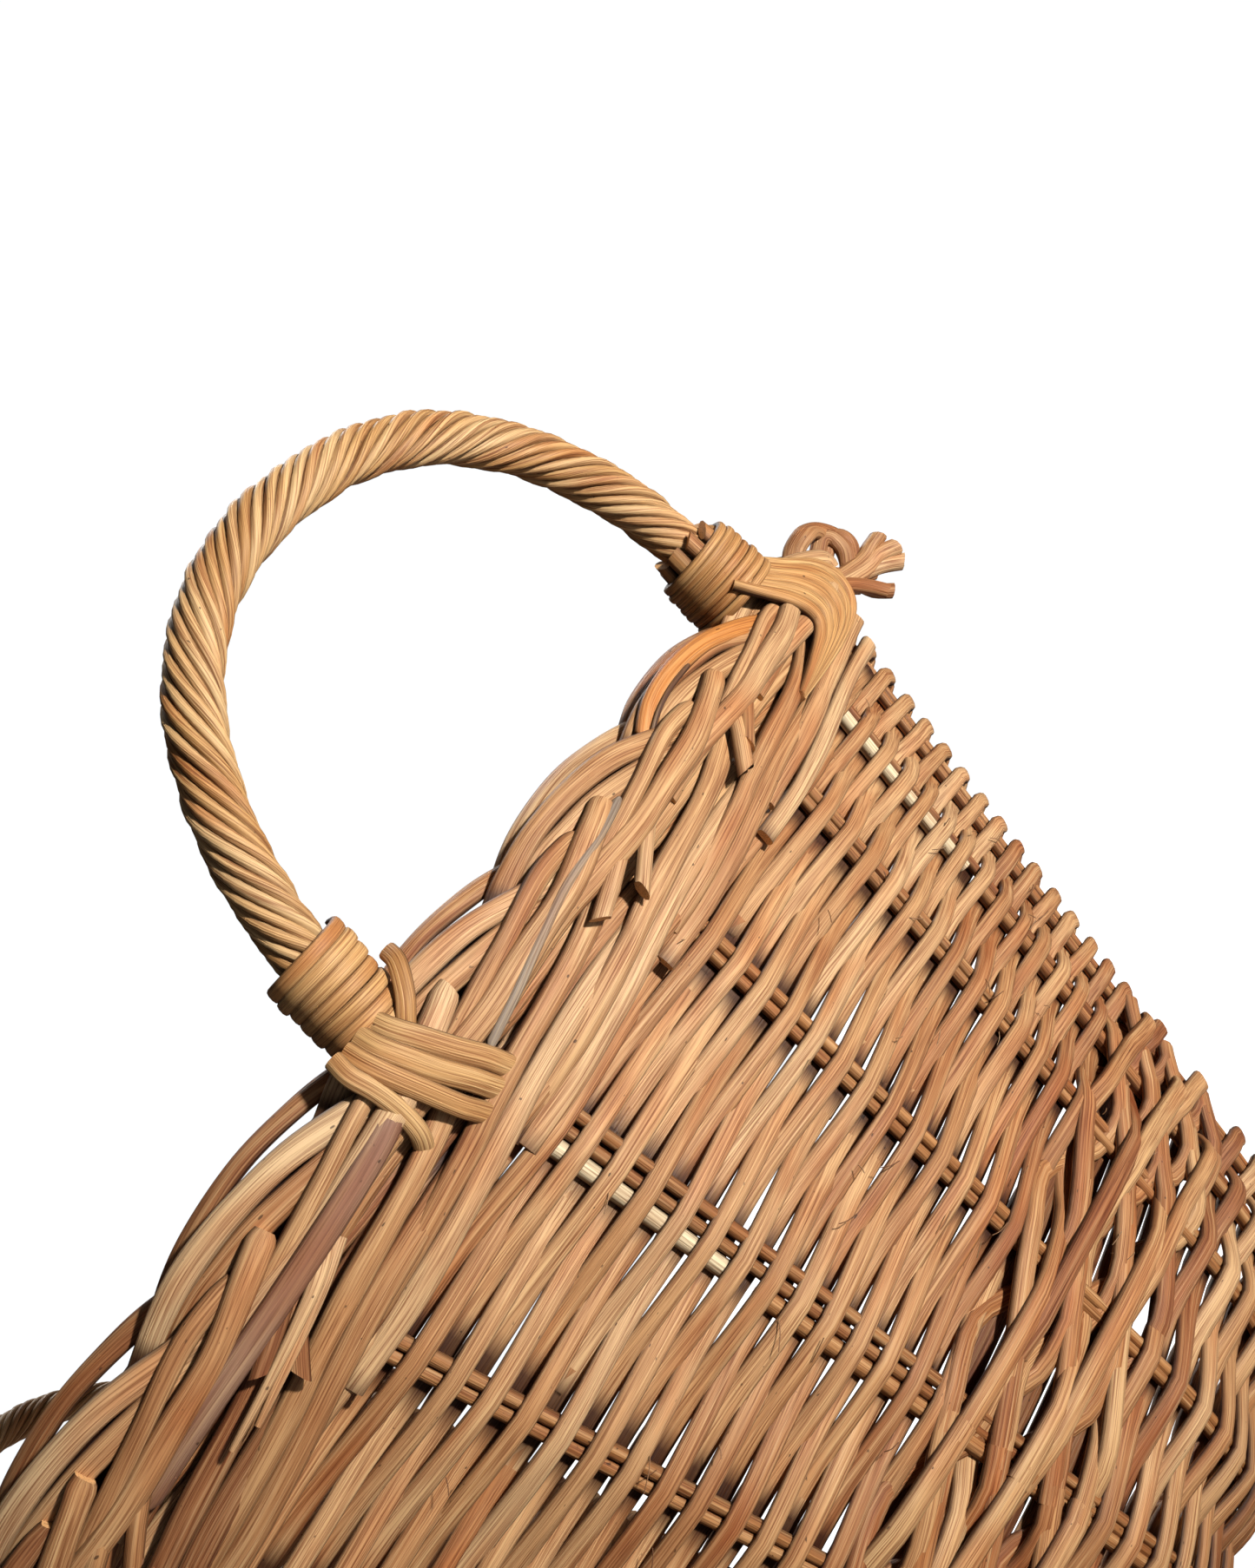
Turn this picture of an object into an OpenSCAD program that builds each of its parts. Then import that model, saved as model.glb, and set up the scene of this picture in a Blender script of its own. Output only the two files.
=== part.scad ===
// Winnowing basket: an open-fronted wicker scoop with a plaited border and two twisted handles.
// Millimetres, +Z up, the open front faces -Y, and the part stands on the plane z = 0.
// Angles run round the rim from the left front corner (0) over the back (90) to the right (180).

/* [Basket] */
// Radius of the rim at the two sides
rim_side_r = 278; // [255:1:310]
// Radius of the rim at the back
rim_back_r = 368; // [320:1:410]
// Height of the rim line above the middle of the floor's ribs
rim_h = 310; // [270:1:345]
// Slope of the side walls from level, in degrees
wall_slope = 68.4; // [66:0.1:74]
// Length of the bend's tangent from the corner of wall and floor
bend_len = 79; // [60:1:95]
// Radius of the knot where the ribs meet at the front of the floor
knot_r = 33; // [31:0.5:38]

/* [Ribs] */
// Diameter of one cane rod of a rib
rod_d = 3.2; // [2.4:0.1:3.6]
// Room between a rod and what lies against it
fit_gap = 0.15; // [0.1:0.05:0.3]
// Slope at which the outer rods of a rib end on the bend, in degrees
tuck_slope = 24; // [18:1:40]

/* [Weave] */
// Width of a weaver
weaver_w = 4.5; // [3.6:0.1:4.8]
// Thickness of a weaver
weaver_t = 1.8; // [1.2:0.1:2.2]
// Distance from row to row on the side, above the band
row_pitch = 5.2; // [5:0.1:6.5]
// Distance from row to row below the band and on the floor
low_pitch = 6.5; // [6:0.1:8]
// Depth of the first row under the rim
weave_drop = 11; // [10:1:20]
// How far a weaver reaches past the front edge's rib
edge_reach = 5.5; // [4:0.1:7]

/* [Twined band] */
// Depth of the band's top edge under the rim
band_drop = 186; // [170:1:200]
// Rows of twining in the band
band_rows = 5; // [3:1:5]
// Distance from row to row in the band
band_pitch = 10.4; // [10:0.1:11]
// Width of a twining strand
twine_w = 3.3; // [2.4:0.1:3.4]

/* [Border] */
// Diameter of a border strand
strand_d = 5; // [4:0.1:5.2]
// Number of border strands from corner to corner
strand_count = 30; // [24:1:32]
// Height of the border's crest over the rim line
crest_h = 5.5; // [4.5:0.1:8]
// Depth of a strand's two ends under the rim line
strand_drop = 13; // [10:0.5:16]
// Distance of a strand's two ends from the middle of the wall
strand_out = 9; // [8:0.1:11]
// Depth under the rim at which the slanting strands leave the border
slant_drop = 14; // [13:0.5:14.5]
// Depth under the rim at which the slanting strands end
slant_end = 36; // [36:0.5:42]
// Reach of the cut strand ends ahead of the front corner
stub_reach = 20; // [12:1:26]

/* [Handles] */
// Thickness of the twisted handle
handle_d = 16; // [13:0.5:18]
// Height of the handle's crown over the rim line, along its own plane
handle_h = 115; // [100:1:135]
// Angle of the handle's rear foot on the rim, in degrees
rear_foot = 43; // [40:0.5:48]
// Angle of the handle's front foot on the rim, in degrees
front_foot = 6; // [5:0.5:9]
// How far the handle leans out from upright, in degrees
handle_lean = 18; // [8:1:25]
// Length of one full turn of the twist
twist_pitch = 67; // [60:1:110]

/* [Windings] */
// Turns of cane round each handle foot
wind_turns = 7; // [4:1:8]
// Diameter of the winding cane
wind_d = 3.6; // [3:0.1:3.7]
// Distance from turn to turn
wind_pitch = 4.2; // [4.15:0.05:5]
// Strands that lash each winding to the border
lash_count = 4; // [3:1:4]
// Width of a lashing strand
lash_w = 3.8; // [3.2:0.1:4.4]
// Thickness of a lashing strand
lash_t = 1.8; // [1.4:0.1:2.2]

/* [Hidden] */
$fn = 48;

// Angles of the ribs from the left front corner to the one beside the back, closer at the front
left_ribs = [-1.5, 4.6, 13.9, 28.1, 41.6, 53.6, 65.7, 77.8];
last_left = len(left_ribs) - 1;
ribs = concat(left_ribs, [90], [for (i = [last_left:-1:0]) 180 - left_ribs[i]]);
last_rib = len(ribs) - 1;
// A rod is a little thicker where it bends, and its straight runs reach this far into the bend
swell = 0.06;
lap = 1.5;
// The front edge's rib has two rods, the others have three
function rod_places(i) = i == 0 ? [0, 1] : i == last_rib ? [0, -1] : [-1, 0, 1];

// Height of the floor ribs' middle: one weaver and half a rod above the ground
floor_z = rod_d / 2 + fit_gap + weaver_t;
// Distance of a weaver's middle from the ribs' middle where it passes a single rod
over = rod_d / 2 + fit_gap + weaver_t / 2;
// The most that a weaver stands off from the middle of the wall, to its outer face
weave_out = over + weaver_t / 2 + 0.6;
// Level run of the side wall between the rim and its corner with the floor
side_run = rim_h / tan(wall_slope);
// How far a corner's cut strand ends lie back over the front rib
stub_back = 6;
// Distance of the outer stubs from the middle of the wall, beside the rib's rods
stub_out = (rod_d + strand_d) / 2 + fit_gap;
// Middle of the whole basket from front to back, so that the part is centred on its origin
front_y = (rim_r(ribs[0]) + stub_out) * sin(ribs[0]) - stub_reach;
back_y = rim_back_r + strand_out + strand_d / 2;
middle_y = (front_y + back_y) / 2;

// Shape of the wall at angle a
function rim_r(a) = rim_side_r + (rim_back_r - rim_side_r) * pow(sin(a), 2);
function stretch(a) = rim_r(a) / rim_side_r;
function slope_at(a) = atan2(rim_h, stretch(a) * side_run);
function bend_r(a) = stretch(a) * bend_len / tan(slope_at(a) / 2);
function wall_len(a) = rim_h / sin(slope_at(a)) - stretch(a) * bend_len;
function rib_len(a) = wall_len(a) + bend_r(a) * slope_at(a) * PI / 180;
function floor_r(a) = stretch(a) * (rim_side_r - side_run - bend_len);

// Radius, height and slope at depth d under the rim, measured along the rib
function on_bend(a, t) = [floor_r(a) + bend_r(a) * sin(t), bend_r(a) * (1 - cos(t)), t];
function on_wall(a, d) = [rim_r(a) - d * cos(slope_at(a)), rim_h - d * sin(slope_at(a)), slope_at(a)];
function profile(a, d) =
    d <= wall_len(a) ? on_wall(a, d) : on_bend(a, slope_at(a) - (d - wall_len(a)) / bend_r(a) * 180 / PI);
// Share u of the rib's length: 0 at the rim, 1 where the floor starts, 2 at the knot
function spot(a, u) =
    u <= 1 ? profile(a, u * rib_len(a)) : [floor_r(a) + (u - 1) * (knot_r - floor_r(a)), 0, 0];
// A point at that spot, o outwards from the middle of the wall
function place(a, p, o) = [
    -(p[0] + o * sin(p[2])) * cos(a),
    (p[0] + o * sin(p[2])) * sin(a) - middle_y,
    floor_z + p[1] - o * cos(p[2])
];
function out_dir(a, p) = [-sin(p[2]) * cos(a), sin(p[2]) * sin(a), -cos(p[2])];
function down_dir(a, p) = [cos(p[2]) * cos(a), -cos(p[2]) * sin(a), -sin(p[2])];
// A point near the rim: h above the rim line, o outwards, both level and upright
function rim_point(a, o, h) =
    [-(rim_r(a) + o) * cos(a), (rim_r(a) + o) * sin(a) - middle_y, floor_z + rim_h + h];
function unit(v) = v / norm(v);

// A closed tube through rings of n points each
module tube(rings) {
    n = len(rings[0]);
    last = len(rings) - 1;
    points = [for (ring = rings) each ring];
    sides = [for (i = [0:last - 1]) for (k = [0:n - 1]) let (m = (k + 1) % n)
        each [[i * n + k, i * n + m, i * n + n + k], [i * n + m, i * n + n + m, i * n + n + k]]];
    caps = [[for (k = [n - 1:-1:0]) k], [for (k = [0:n - 1]) last * n + k]];
    polyhedron(points, concat(sides, caps));
}
// A flat strip's ring at c, wide along b and thick along n
function strip_ring(c, b, n, w, t) = [
    c + b * w / 2 + n * t / 2, c - b * w / 2 + n * t / 2,
    c - b * w / 2 - n * t / 2, c + b * w / 2 - n * t / 2
];
// The matrix that takes the axes to x, y and z and the origin to o
function frame_of(x, y, z, o) =
    [for (i = [0:2]) [x[i], y[i], z[i], o[i]]];
// A straight rod between two points
module rod(p, q, d) {
    z = unit(q - p);
    x = unit(cross(abs(z[2]) < 0.9 ? [0, 0, 1] : [1, 0, 0], z));
    multmatrix(frame_of(x, cross(z, x), z, p))
        cylinder(d = d, h = norm(q - p));
}
// A round rod bent along the circle through three points
module bent_rod(p, q, r, d) {
    u = q - p;
    v = r - p;
    n = cross(u, v);
    c = p + (cross(n, u) * (v * v) + cross(v, n) * (u * u)) / (2 * n * n);
    x = unit(p - c);
    z = unit(n);
    y = cross(z, x);
    sweep = atan2((r - c) * y, (r - c) * x);
    multmatrix(frame_of(x, y, z, c))
        rotate_extrude(angle = sweep < 0 ? sweep + 360 : sweep)
            translate([norm(p - c), 0])
                circle(d = d);
}

// Ribs: each is two or three rods side by side, and the middle one runs on to the knot
module rib(i) {
    a = ribs[i];
    b = slope_at(a);
    side = [sin(a), cos(a), 0] * (rod_d + fit_gap);
    for (j = rod_places(i)) {
        inner = j == 0;
        low = inner ? 0 : tuck_slope;
        top = place(a, on_wall(a, 0), 0) + j * side;
        turn = place(a, on_bend(a, b), 0) + j * side;
        half = place(a, on_bend(a, (b + low) / 2), 0) + j * side;
        foot = place(a, on_bend(a, low), 0) + j * side;
        end = place(a, spot(a, 2), 0) + j * side;
        color("peru") {
            rod(top, turn + lap * unit(turn - top), rod_d);
            bent_rod(turn, half, foot, rod_d + swell);
            if (inner) rod(foot - lap * unit(end - foot), end, rod_d);
        }
    }
}

// Plain weave: a row passes outside one rib and inside the next
function edge_turn(a, u) = edge_reach / spot(a, u)[0] * 180 / PI;
function side_of(i, row) = (i + row) % 2 == 0 ? 1 : -1;
// A weaver slopes away on both sides of a rib, so it stands off enough to clear the outer rods
function rib_turn(i) = min(i > 0 ? ribs[i] - ribs[i - 1] : 360, i < last_rib ? ribs[i + 1] - ribs[i] : 360);
function half_span(i, p) =
    p[2] > tuck_slope - 1.5 ? max([for (j = rod_places(i)) abs(j)]) * (rod_d + fit_gap) : 0;
function stand_off(i, u, way) =
    let (p = spot(ribs[i], u), x = half_span(i, p), gap = p[0] * rib_turn(i) * PI / 180)
    way * (over + (way > 0 ? x * tan(rib_turn(i) / 2) : 0)) / (1 - 2 * x / gap);
function row_stop(i, u, row) = [ribs[i], u, stand_off(i, u, side_of(i, row))];
function row_stops(u, row) = concat(
    [moved(row_stop(0, u, row), -edge_turn(ribs[0], u))],
    [for (i = [0:last_rib]) row_stop(i, u, row)],
    [moved(row_stop(last_rib, u, row), edge_turn(ribs[last_rib], u))]
);
function stop_ring(s, w, t) =
    let (p = spot(s[0], s[1]))
    strip_ring(place(s[0], p, s[2]), down_dir(s[0], p), out_dir(s[0], p), w, t);
// Each row is woven from cane lengths that meet behind every second rib, this far apart
join_gap = 0.8;
join_every = 2;
function join_turn(s) = join_gap / 2 / spot(s[0], s[1])[0] * 180 / PI;
function moved(s, turn) = [s[0] + turn, s[1], s[2]];
module lengths(stops, joins, w, t) {
    cuts = concat([0], joins, [len(stops) - 1]);
    for (c = [0:len(cuts) - 2])
        tube([for (k = [cuts[c]:cuts[c + 1]])
            let (
                starts = k == cuts[c] && c > 0,
                ends = k == cuts[c + 1] && c < len(cuts) - 2
            )
            stop_ring(moved(stops[k], join_turn(stops[k]) * (starts ? 1 : ends ? -1 : 0)), w, t)]);
}
module weaver_row(u, row) {
    joins = [for (i = [1 + row % 2:join_every:last_rib - 1]) i + 1];
    lengths(row_stops(u, row), joins, weaver_w, weaver_t);
}

side_len = rib_len(ribs[0]);
band_end = band_drop + band_rows * band_pitch;
side_count = floor((band_drop - weave_drop) / row_pitch);
low_count = floor((side_len - band_end) / low_pitch);
floor_count = floor((floor_r(ribs[0]) - knot_r) / low_pitch);
module side_weavers() {
    color("burlywood")
        for (k = [0:side_count - 1])
            weaver_row((band_drop - (side_count - k - 0.5) * row_pitch) / side_len, k);
}
module lower_weavers() {
    color("sandybrown")
        for (k = [0:low_count - 1])
            weaver_row((band_end + (k + 0.5) * low_pitch) / side_len, k + 1);
}
module floor_weavers() {
    color("tan")
        for (k = [0:floor_count - 1])
            weaver_row(1 + (k + 0.5) / floor_count, low_count + k + 1);
}

// Twined band: two strands a row, which change sides between the ribs and cross there
function twine_mid(i, u, up) = [(ribs[i] + ribs[i + 1]) / 2, u + up * band_pitch / 4 / side_len, 0];
function twine_stops(u, row) = concat(
    [moved(row_stop(0, u, row), -edge_turn(ribs[0], u))],
    [for (i = [0:last_rib - 1]) each [row_stop(i, u, row), twine_mid(i, u, side_of(i, row))]],
    [row_stop(last_rib, u, row)],
    [moved(row_stop(last_rib, u, row), edge_turn(ribs[last_rib], u))]
);
module twined_band() {
    color("chocolate")
        for (k = [0:band_rows - 1])
            for (strand = [0:1])
                lengths(
                    twine_stops((band_drop + (k + 0.5) * band_pitch) / side_len, strand),
                    [for (i = [1 + strand % 2:join_every:last_rib - 1]) 2 * i + 1],
                    twine_w, weaver_t
                );
}

// The ribs' inner ends are bound together in a flat knot at the front of the floor
module rib_knot() {
    span = ribs[last_rib] - ribs[0];
    color("saddlebrown")
        translate([0, -middle_y, 0])
            rotate([0, 0, 180 - ribs[last_rib]])
                rotate_extrude(angle = span)
                    square([knot_r - fit_gap, 2 * floor_z]);
}

// Border: every strand starts outside the rim, crosses over its top and goes down inside behind the
// next ones, and long slanting strands lie below it over the first rows of the weave
strand_step = (ribs[last_rib] - ribs[0]) / (strand_count + 2);
slant_out = weave_out + strand_d / 2 + fit_gap;
slant_steps = 4;
function slant_point(a, share) =
    place(a, profile(a, slant_drop + share * (slant_end - slant_drop)), slant_out);
module plaited_border() {
    color("goldenrod")
        for (k = [0:strand_count - 1]) {
            a = ribs[0] + k * strand_step;
            bent_rod(
                rim_point(a, strand_out, -strand_drop),
                rim_point(a + 1.5 * strand_step, 0, crest_h),
                rim_point(a + 3 * strand_step, -strand_out, -strand_drop),
                strand_d
            );
            if (k + slant_steps <= strand_count + 2)
                bent_rod(
                    slant_point(a, 0),
                    slant_point(a + slant_steps / 2 * strand_step, 0.5),
                    slant_point(a + slant_steps * strand_step, 1),
                    strand_d
                );
        }
}
// Corner: the border's strands end at the open front in cut stubs round the rib's tip, under a loop
module corner(flip) {
    a = ribs[0];
    ahead = [0, -1, 0];
    seat = strand_d / 2 + fit_gap;
    loop_ahead = rod_d + strand_d;
    loop_out = stub_out + strand_d + fit_gap;
    color("sienna")
        mirror([flip, 0, 0]) {
            for (side = [-1, 0, 1]) {
                middle = rim_point(a, side * stub_out, side == 0 ? seat : -seat);
                rod(middle - ahead * stub_back, middle + ahead * stub_reach, strand_d);
            }
            bent_rod(
                rim_point(a, -loop_out, -strand_drop) + ahead * loop_ahead,
                rim_point(a, 0, seat + strand_d + fit_gap) + ahead * loop_ahead,
                rim_point(a, loop_out, -strand_drop) + ahead * loop_ahead,
                strand_d
            );
        }
}
module corner_left() { corner(0); }
module corner_right() { corner(1); }

// Handle: an arch over the chord between its two feet, leaning out from the rim. Both handles have
// the same left-handed twist
rear_point = rim_point(rear_foot, 0, 0);
front_point = rim_point(front_foot, 0, 0);
handle_mid = (rear_point + front_point) / 2;
chord = front_point - rear_point;
along = unit(chord);
outward = unit(cross([0, 0, 1], -along));
rise = cos(handle_lean) * [0, 0, 1] + sin(handle_lean) * outward;
face = cos(handle_lean) * outward - sin(handle_lean) * [0, 0, 1];
arch_power = 0.88;
function arch(q) =
    handle_mid - along * sign(cos(q)) * pow(abs(cos(q)), arch_power) * norm(chord) / 2
    + rise * pow(abs(sin(q)), arch_power) * handle_h;
// The feet stand on the border's crest
foot_h = crest_h + strand_d / 2 + fit_gap;
foot_turn = asin(pow(foot_h / handle_h, 1 / arch_power));
arch_rings = 40;
lobes = 5;
lobe_depth = 0.9;
function arch_turn(k) = foot_turn + (180 - 2 * foot_turn) * k / arch_rings;
arch_points = [for (k = [0:arch_rings]) arch(arch_turn(k))];
function arch_length(k) = k == 0 ? 0 : arch_length(k - 1) + norm(arch_points[k] - arch_points[k - 1]);
function arch_tangent(q) = unit(arch(q + 0.5) - arch(q - 0.5));
function round_ring(c, n, b, radii, turn) = [for (k = [0:len(radii) - 1])
    let (w = turn + 360 * k / len(radii)) c + (n * cos(w) + b * sin(w)) * radii[k]];
lobe_radii = [for (k = [0:2 * lobes - 1]) handle_d / 2 - (k % 2) * lobe_depth];
module twisted_handle(flip) {
    color("burlywood")
        mirror([flip, 0, 0])
            tube([for (k = [0:arch_rings])
                let (t = arch_tangent(arch_turn(k)))
                let (turn = (1 - 2 * flip) * arch_length(k) / twist_pitch * 360)
                round_ring(arch_points[k], cross(t, face), face, lobe_radii, turn)]);
}
module handle_left() { twisted_handle(0); }
module handle_right() { twisted_handle(1); }

// Winding: one unbroken cane coiled up round a handle foot
coil_rings = 9;
coil_sides = 6;
coil_r = handle_d / 2 + fit_gap + wind_d / 2;
coil_len = wind_turns * wind_pitch;
function foot_axis(front) =
    let (q = front ? 180 - foot_turn : foot_turn, far = front ? q - coil_span : q + coil_span)
    unit(arch(far) - arch(q));
// Angle of the arch that the winding covers
coil_span = 14;
function coil_points(front) =
    let (
        base = arch(front ? 180 - foot_turn : foot_turn), axis = foot_axis(front),
        n = unit(cross(axis, face)), b = cross(axis, n), start = wind_d / 2 + fit_gap
    )
    straight_ends([for (k = [0:wind_turns * coil_rings])
        let (w = 360 * k / coil_rings, up = start + coil_len * k / (wind_turns * coil_rings))
        base + axis * up + (n * cos(w) + b * sin(w)) * coil_r], wind_d);
// Both ends of a cane run straight on for the given length
function straight_ends(points, run) =
    let (last = len(points) - 1)
    concat(
        [points[0] + run * unit(points[0] - points[1])],
        points,
        [points[last] + run * unit(points[last] - points[last - 1])]
    );
function tube_rings(points, d) = [for (k = [0:len(points) - 1])
    let (
        t = unit(points[min(k + 1, len(points) - 1)] - points[max(k - 1, 0)]),
        n = unit(cross(t, face)), b = cross(t, n)
    )
    round_ring(points[k], n, b, [for (s = [1:coil_sides]) d / 2], 0)];
function least_gap(points, apart, d) = min([for (i = [0:len(points) - 1 - apart])
    for (j = [i + apart:len(points) - 1]) norm(points[i] - points[j])]) - d;
module winding(flip, front) {
    points = coil_points(front);
    echo("least gap between turns", least_gap(points, coil_rings - 1, wind_d));
    color("tan")
        mirror([flip, 0, 0])
            tube(tube_rings(points, wind_d));
}
module winding_left_rear() { winding(0, false); }
module winding_left_front() { winding(0, true); }
module winding_right_rear() { winding(1, false); }
module winding_right_front() { winding(1, true); }

// Lashing: strands side by side that run from the winding down over the border's outside
module lashing(flip, front) {
    base = arch(front ? 180 - foot_turn : foot_turn);
    axis = foot_axis(front);
    a = front ? front_foot : rear_foot;
    clear = lash_t / 2 + fit_gap;
    wind_out = coil_r + wind_d / 2 + clear;
    border_out = strand_out + strand_d / 2 + clear;
    slant_over = slant_out + strand_d / 2 + clear;
    tuck_drop = slant_end + 2 * strand_d;
    color("wheat")
        mirror([flip, 0, 0])
            for (k = [0:lash_count - 1]) {
                shift = (k - (lash_count - 1) / 2) * (lash_w + 4 * fit_gap);
                b = a - shift / rim_r(a) * 180 / PI;
                route = [
                    base + axis * coil_len * 0.6 + face * wind_out + along * shift,
                    base + axis * wind_d + face * wind_out + along * shift,
                    rim_point(b, border_out, 0),
                    rim_point(b, border_out, -strand_drop - strand_d / 2),
                    place(b, profile(b, slant_drop + 2 * strand_d), slant_over + fit_gap),
                    place(b, profile(b, slant_end + strand_d), slant_over + fit_gap),
                    place(b, profile(b, tuck_drop), weave_out + clear)
                ];
                tube([for (i = [0:len(route) - 1])
                    let (
                        t = unit(route[min(i + 1, len(route) - 1)] - route[max(i - 1, 0)]),
                        n = unit(face - t * (face * t))
                    )
                    strip_ring(route[i], cross(t, n), n, lash_w, lash_t)]);
            }
}
module lashing_left_rear() { lashing(0, false); }
module lashing_left_front() { lashing(0, true); }
module lashing_right_rear() { lashing(1, false); }
module lashing_right_front() { lashing(1, true); }

rib(0);  // rib_01
rib(1);  // rib_02
rib(2);  // rib_03
rib(3);  // rib_04
rib(4);  // rib_05
rib(5);  // rib_06
rib(6);  // rib_07
rib(7);  // rib_08
rib(8);  // rib_09
rib(9);  // rib_10
rib(10);  // rib_11
rib(11);  // rib_12
rib(12);  // rib_13
rib(13);  // rib_14
rib(14);  // rib_15
rib(15);  // rib_16
rib(16);  // rib_17
side_weavers();
twined_band();
lower_weavers();
floor_weavers();
rib_knot();
plaited_border();
corner_left();
corner_right();
handle_left();
handle_right();
winding_left_rear();
winding_left_front();
winding_right_rear();
winding_right_front();
lashing_left_rear();
lashing_left_front();
lashing_right_rear();
lashing_right_front();
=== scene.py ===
# %% [markdown]
# # A winnowing basket, woven strand by strand
# The basket is an open-fronted scoop of cane. Ribs run from the rim down the wall and meet at the
# front of the floor, flat weavers pass over one rib and under the next, a twined band stiffens the
# wall low down, and a plaited border carries two twisted handles. It could be one shell with a
# woven bump pattern, but wicker is known by its gaps, its crossings and its cut ends. So every
# strand is laid as its own piece of cane, on the same wall that the CAD solids follow.

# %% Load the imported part
import functools
import math
import random

import bmesh
import bpy
from mathutils import Matrix, Vector


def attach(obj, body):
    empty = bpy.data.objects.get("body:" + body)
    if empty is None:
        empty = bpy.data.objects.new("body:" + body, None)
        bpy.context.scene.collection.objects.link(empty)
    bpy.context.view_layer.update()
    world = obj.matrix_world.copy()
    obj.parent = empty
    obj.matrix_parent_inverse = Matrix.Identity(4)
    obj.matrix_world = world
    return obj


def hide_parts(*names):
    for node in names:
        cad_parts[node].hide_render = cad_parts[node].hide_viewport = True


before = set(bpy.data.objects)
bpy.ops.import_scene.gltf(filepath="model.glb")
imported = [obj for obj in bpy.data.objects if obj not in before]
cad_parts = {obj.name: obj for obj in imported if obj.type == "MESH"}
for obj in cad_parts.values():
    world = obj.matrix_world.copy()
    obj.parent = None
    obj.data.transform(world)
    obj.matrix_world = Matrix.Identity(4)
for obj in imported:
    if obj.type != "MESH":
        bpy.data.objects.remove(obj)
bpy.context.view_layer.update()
print("CAD nodes:", len(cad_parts))

# %% [markdown]
# ## The wall as a map
# A basket wall is easiest to weave on if each place has an address: the angle round the rim, the
# depth under the rim along the rib, and how far it stands out from the middle of the wall. Strands
# could also be pressed onto a shell with a Shrinkwrap modifier, but an address serves every strand
# alike, inside the wall, outside it and over the rim. The values repeat those of the CAD source,
# in millimetres, and `place` turns an address into a point.

# %% Measures of the wall
MM = 0.001
RIM_SIDE, RIM_BACK, RIM_HEIGHT = 278.0, 368.0, 310.0
WALL_SLOPE, BEND_LENGTH, KNOT_R = math.radians(68.4), 79.0, 33.0
ROD, FIT, WEAVER_T = 3.2, 0.15, 1.8
STRAND, STRAND_OUT, STUB_REACH = 5.0, 9.0, 20.0
FLOOR_Z = ROD / 2 + FIT + WEAVER_T
SIDE_RUN = RIM_HEIGHT / math.tan(WALL_SLOPE)
LEFT_RIBS = [-1.5, 4.6, 13.9, 28.1, 41.6, 53.6, 65.7, 77.8]
RIBS = LEFT_RIBS + [90.0] + [180 - a for a in reversed(LEFT_RIBS)]
LAST = len(RIBS) - 1


def rim_r(a):
    """Radius of the rim at angle a, which grows from the sides to the back."""
    return RIM_SIDE + (RIM_BACK - RIM_SIDE) * math.sin(math.radians(a)) ** 2


edge_sine = math.sin(math.radians(RIBS[0]))
FRONT_Y = (rim_r(RIBS[0]) + (ROD + STRAND) / 2 + FIT) * edge_sine - STUB_REACH
BACK_Y = RIM_BACK + STRAND_OUT + STRAND / 2
MIDDLE_Y = (FRONT_Y + BACK_Y) / 2
print("ribs:", len(RIBS), "and front to back from", round(FRONT_Y, 1), "to", BACK_Y, "mm")


# %% From an address to a point
@functools.lru_cache(maxsize=None)
def rib_line(a):
    """Slope, bend radius, wall length, floor radius and whole length of the rib line at angle a."""
    grow = rim_r(a) / RIM_SIDE
    slope = math.atan2(RIM_HEIGHT, grow * SIDE_RUN)
    bend = grow * BEND_LENGTH / math.tan(slope / 2)
    wall = RIM_HEIGHT / math.sin(slope) - grow * BEND_LENGTH
    return slope, bend, wall, grow * (RIM_SIDE - SIDE_RUN - BEND_LENGTH), wall + bend * slope


def profile(a, d):
    """Radius, height and slope at depth d under the rim."""
    slope, bend, wall, floor_r, length = rib_line(a)
    if d <= wall:
        return rim_r(a) - d * math.cos(slope), RIM_HEIGHT - d * math.sin(slope), slope
    if d <= length:
        turn = slope - (d - wall) / bend
        return floor_r + bend * math.sin(turn), bend * (1 - math.cos(turn)), turn
    return floor_r - (d - length), 0.0, 0.0


def place(a, d, o):
    """The point at angle a and depth d, o outwards from the middle of the wall."""
    r, z, slope = profile(a, d)
    r += o * math.sin(slope)
    turn = math.radians(a)
    return Vector((-r * math.cos(turn), r * math.sin(turn) - MIDDLE_Y,
                   FLOOR_Z + z - o * math.cos(slope)))


def outward(a, d):
    """The direction straight out of the wall at angle a and depth d."""
    return (place(a, d, 1) - place(a, d, 0)).normalized()


print("rim corner:", tuple(round(c, 1) for c in place(RIBS[0], 0, 0)), "mm")

# %% [markdown]
# ## One way to lay any cane
# A strand is a round rod or a split, domed strip that follows a bent path. A curve with a bevel
# would give that shape, but it can't widen without thickening, carry painted shade along its edges
# or end in a slanted cut. So a strand is a flat grid that is rolled round its path. `create_grid`
# makes the grid with its UV map, each row of it is set round one point of the path, the seam is
# merged, and the open ends are filled as cut ends. The UV map is kept in metres, so the grain has
# one scale on every strand.

# %% Profiles of the canes, in halves of their width and thickness
ROUND = [(math.cos(k * math.pi / 5), math.sin(k * math.pi / 5)) for k in range(10)]
DOMED = [(-0.88, -0.75), (-1, -0.2), (-0.97, 0.35), (-0.8, 0.76), (-0.35, 0.97), (0.35, 0.97),
         (0.8, 0.76), (0.97, 0.35), (1, -0.2), (0.88, -0.75)]
HAIR = [(1, 0), (-0.5, 0.8), (-0.5, -0.8)]
print("sides of the profiles:", len(ROUND), len(DOMED), len(HAIR))
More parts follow.
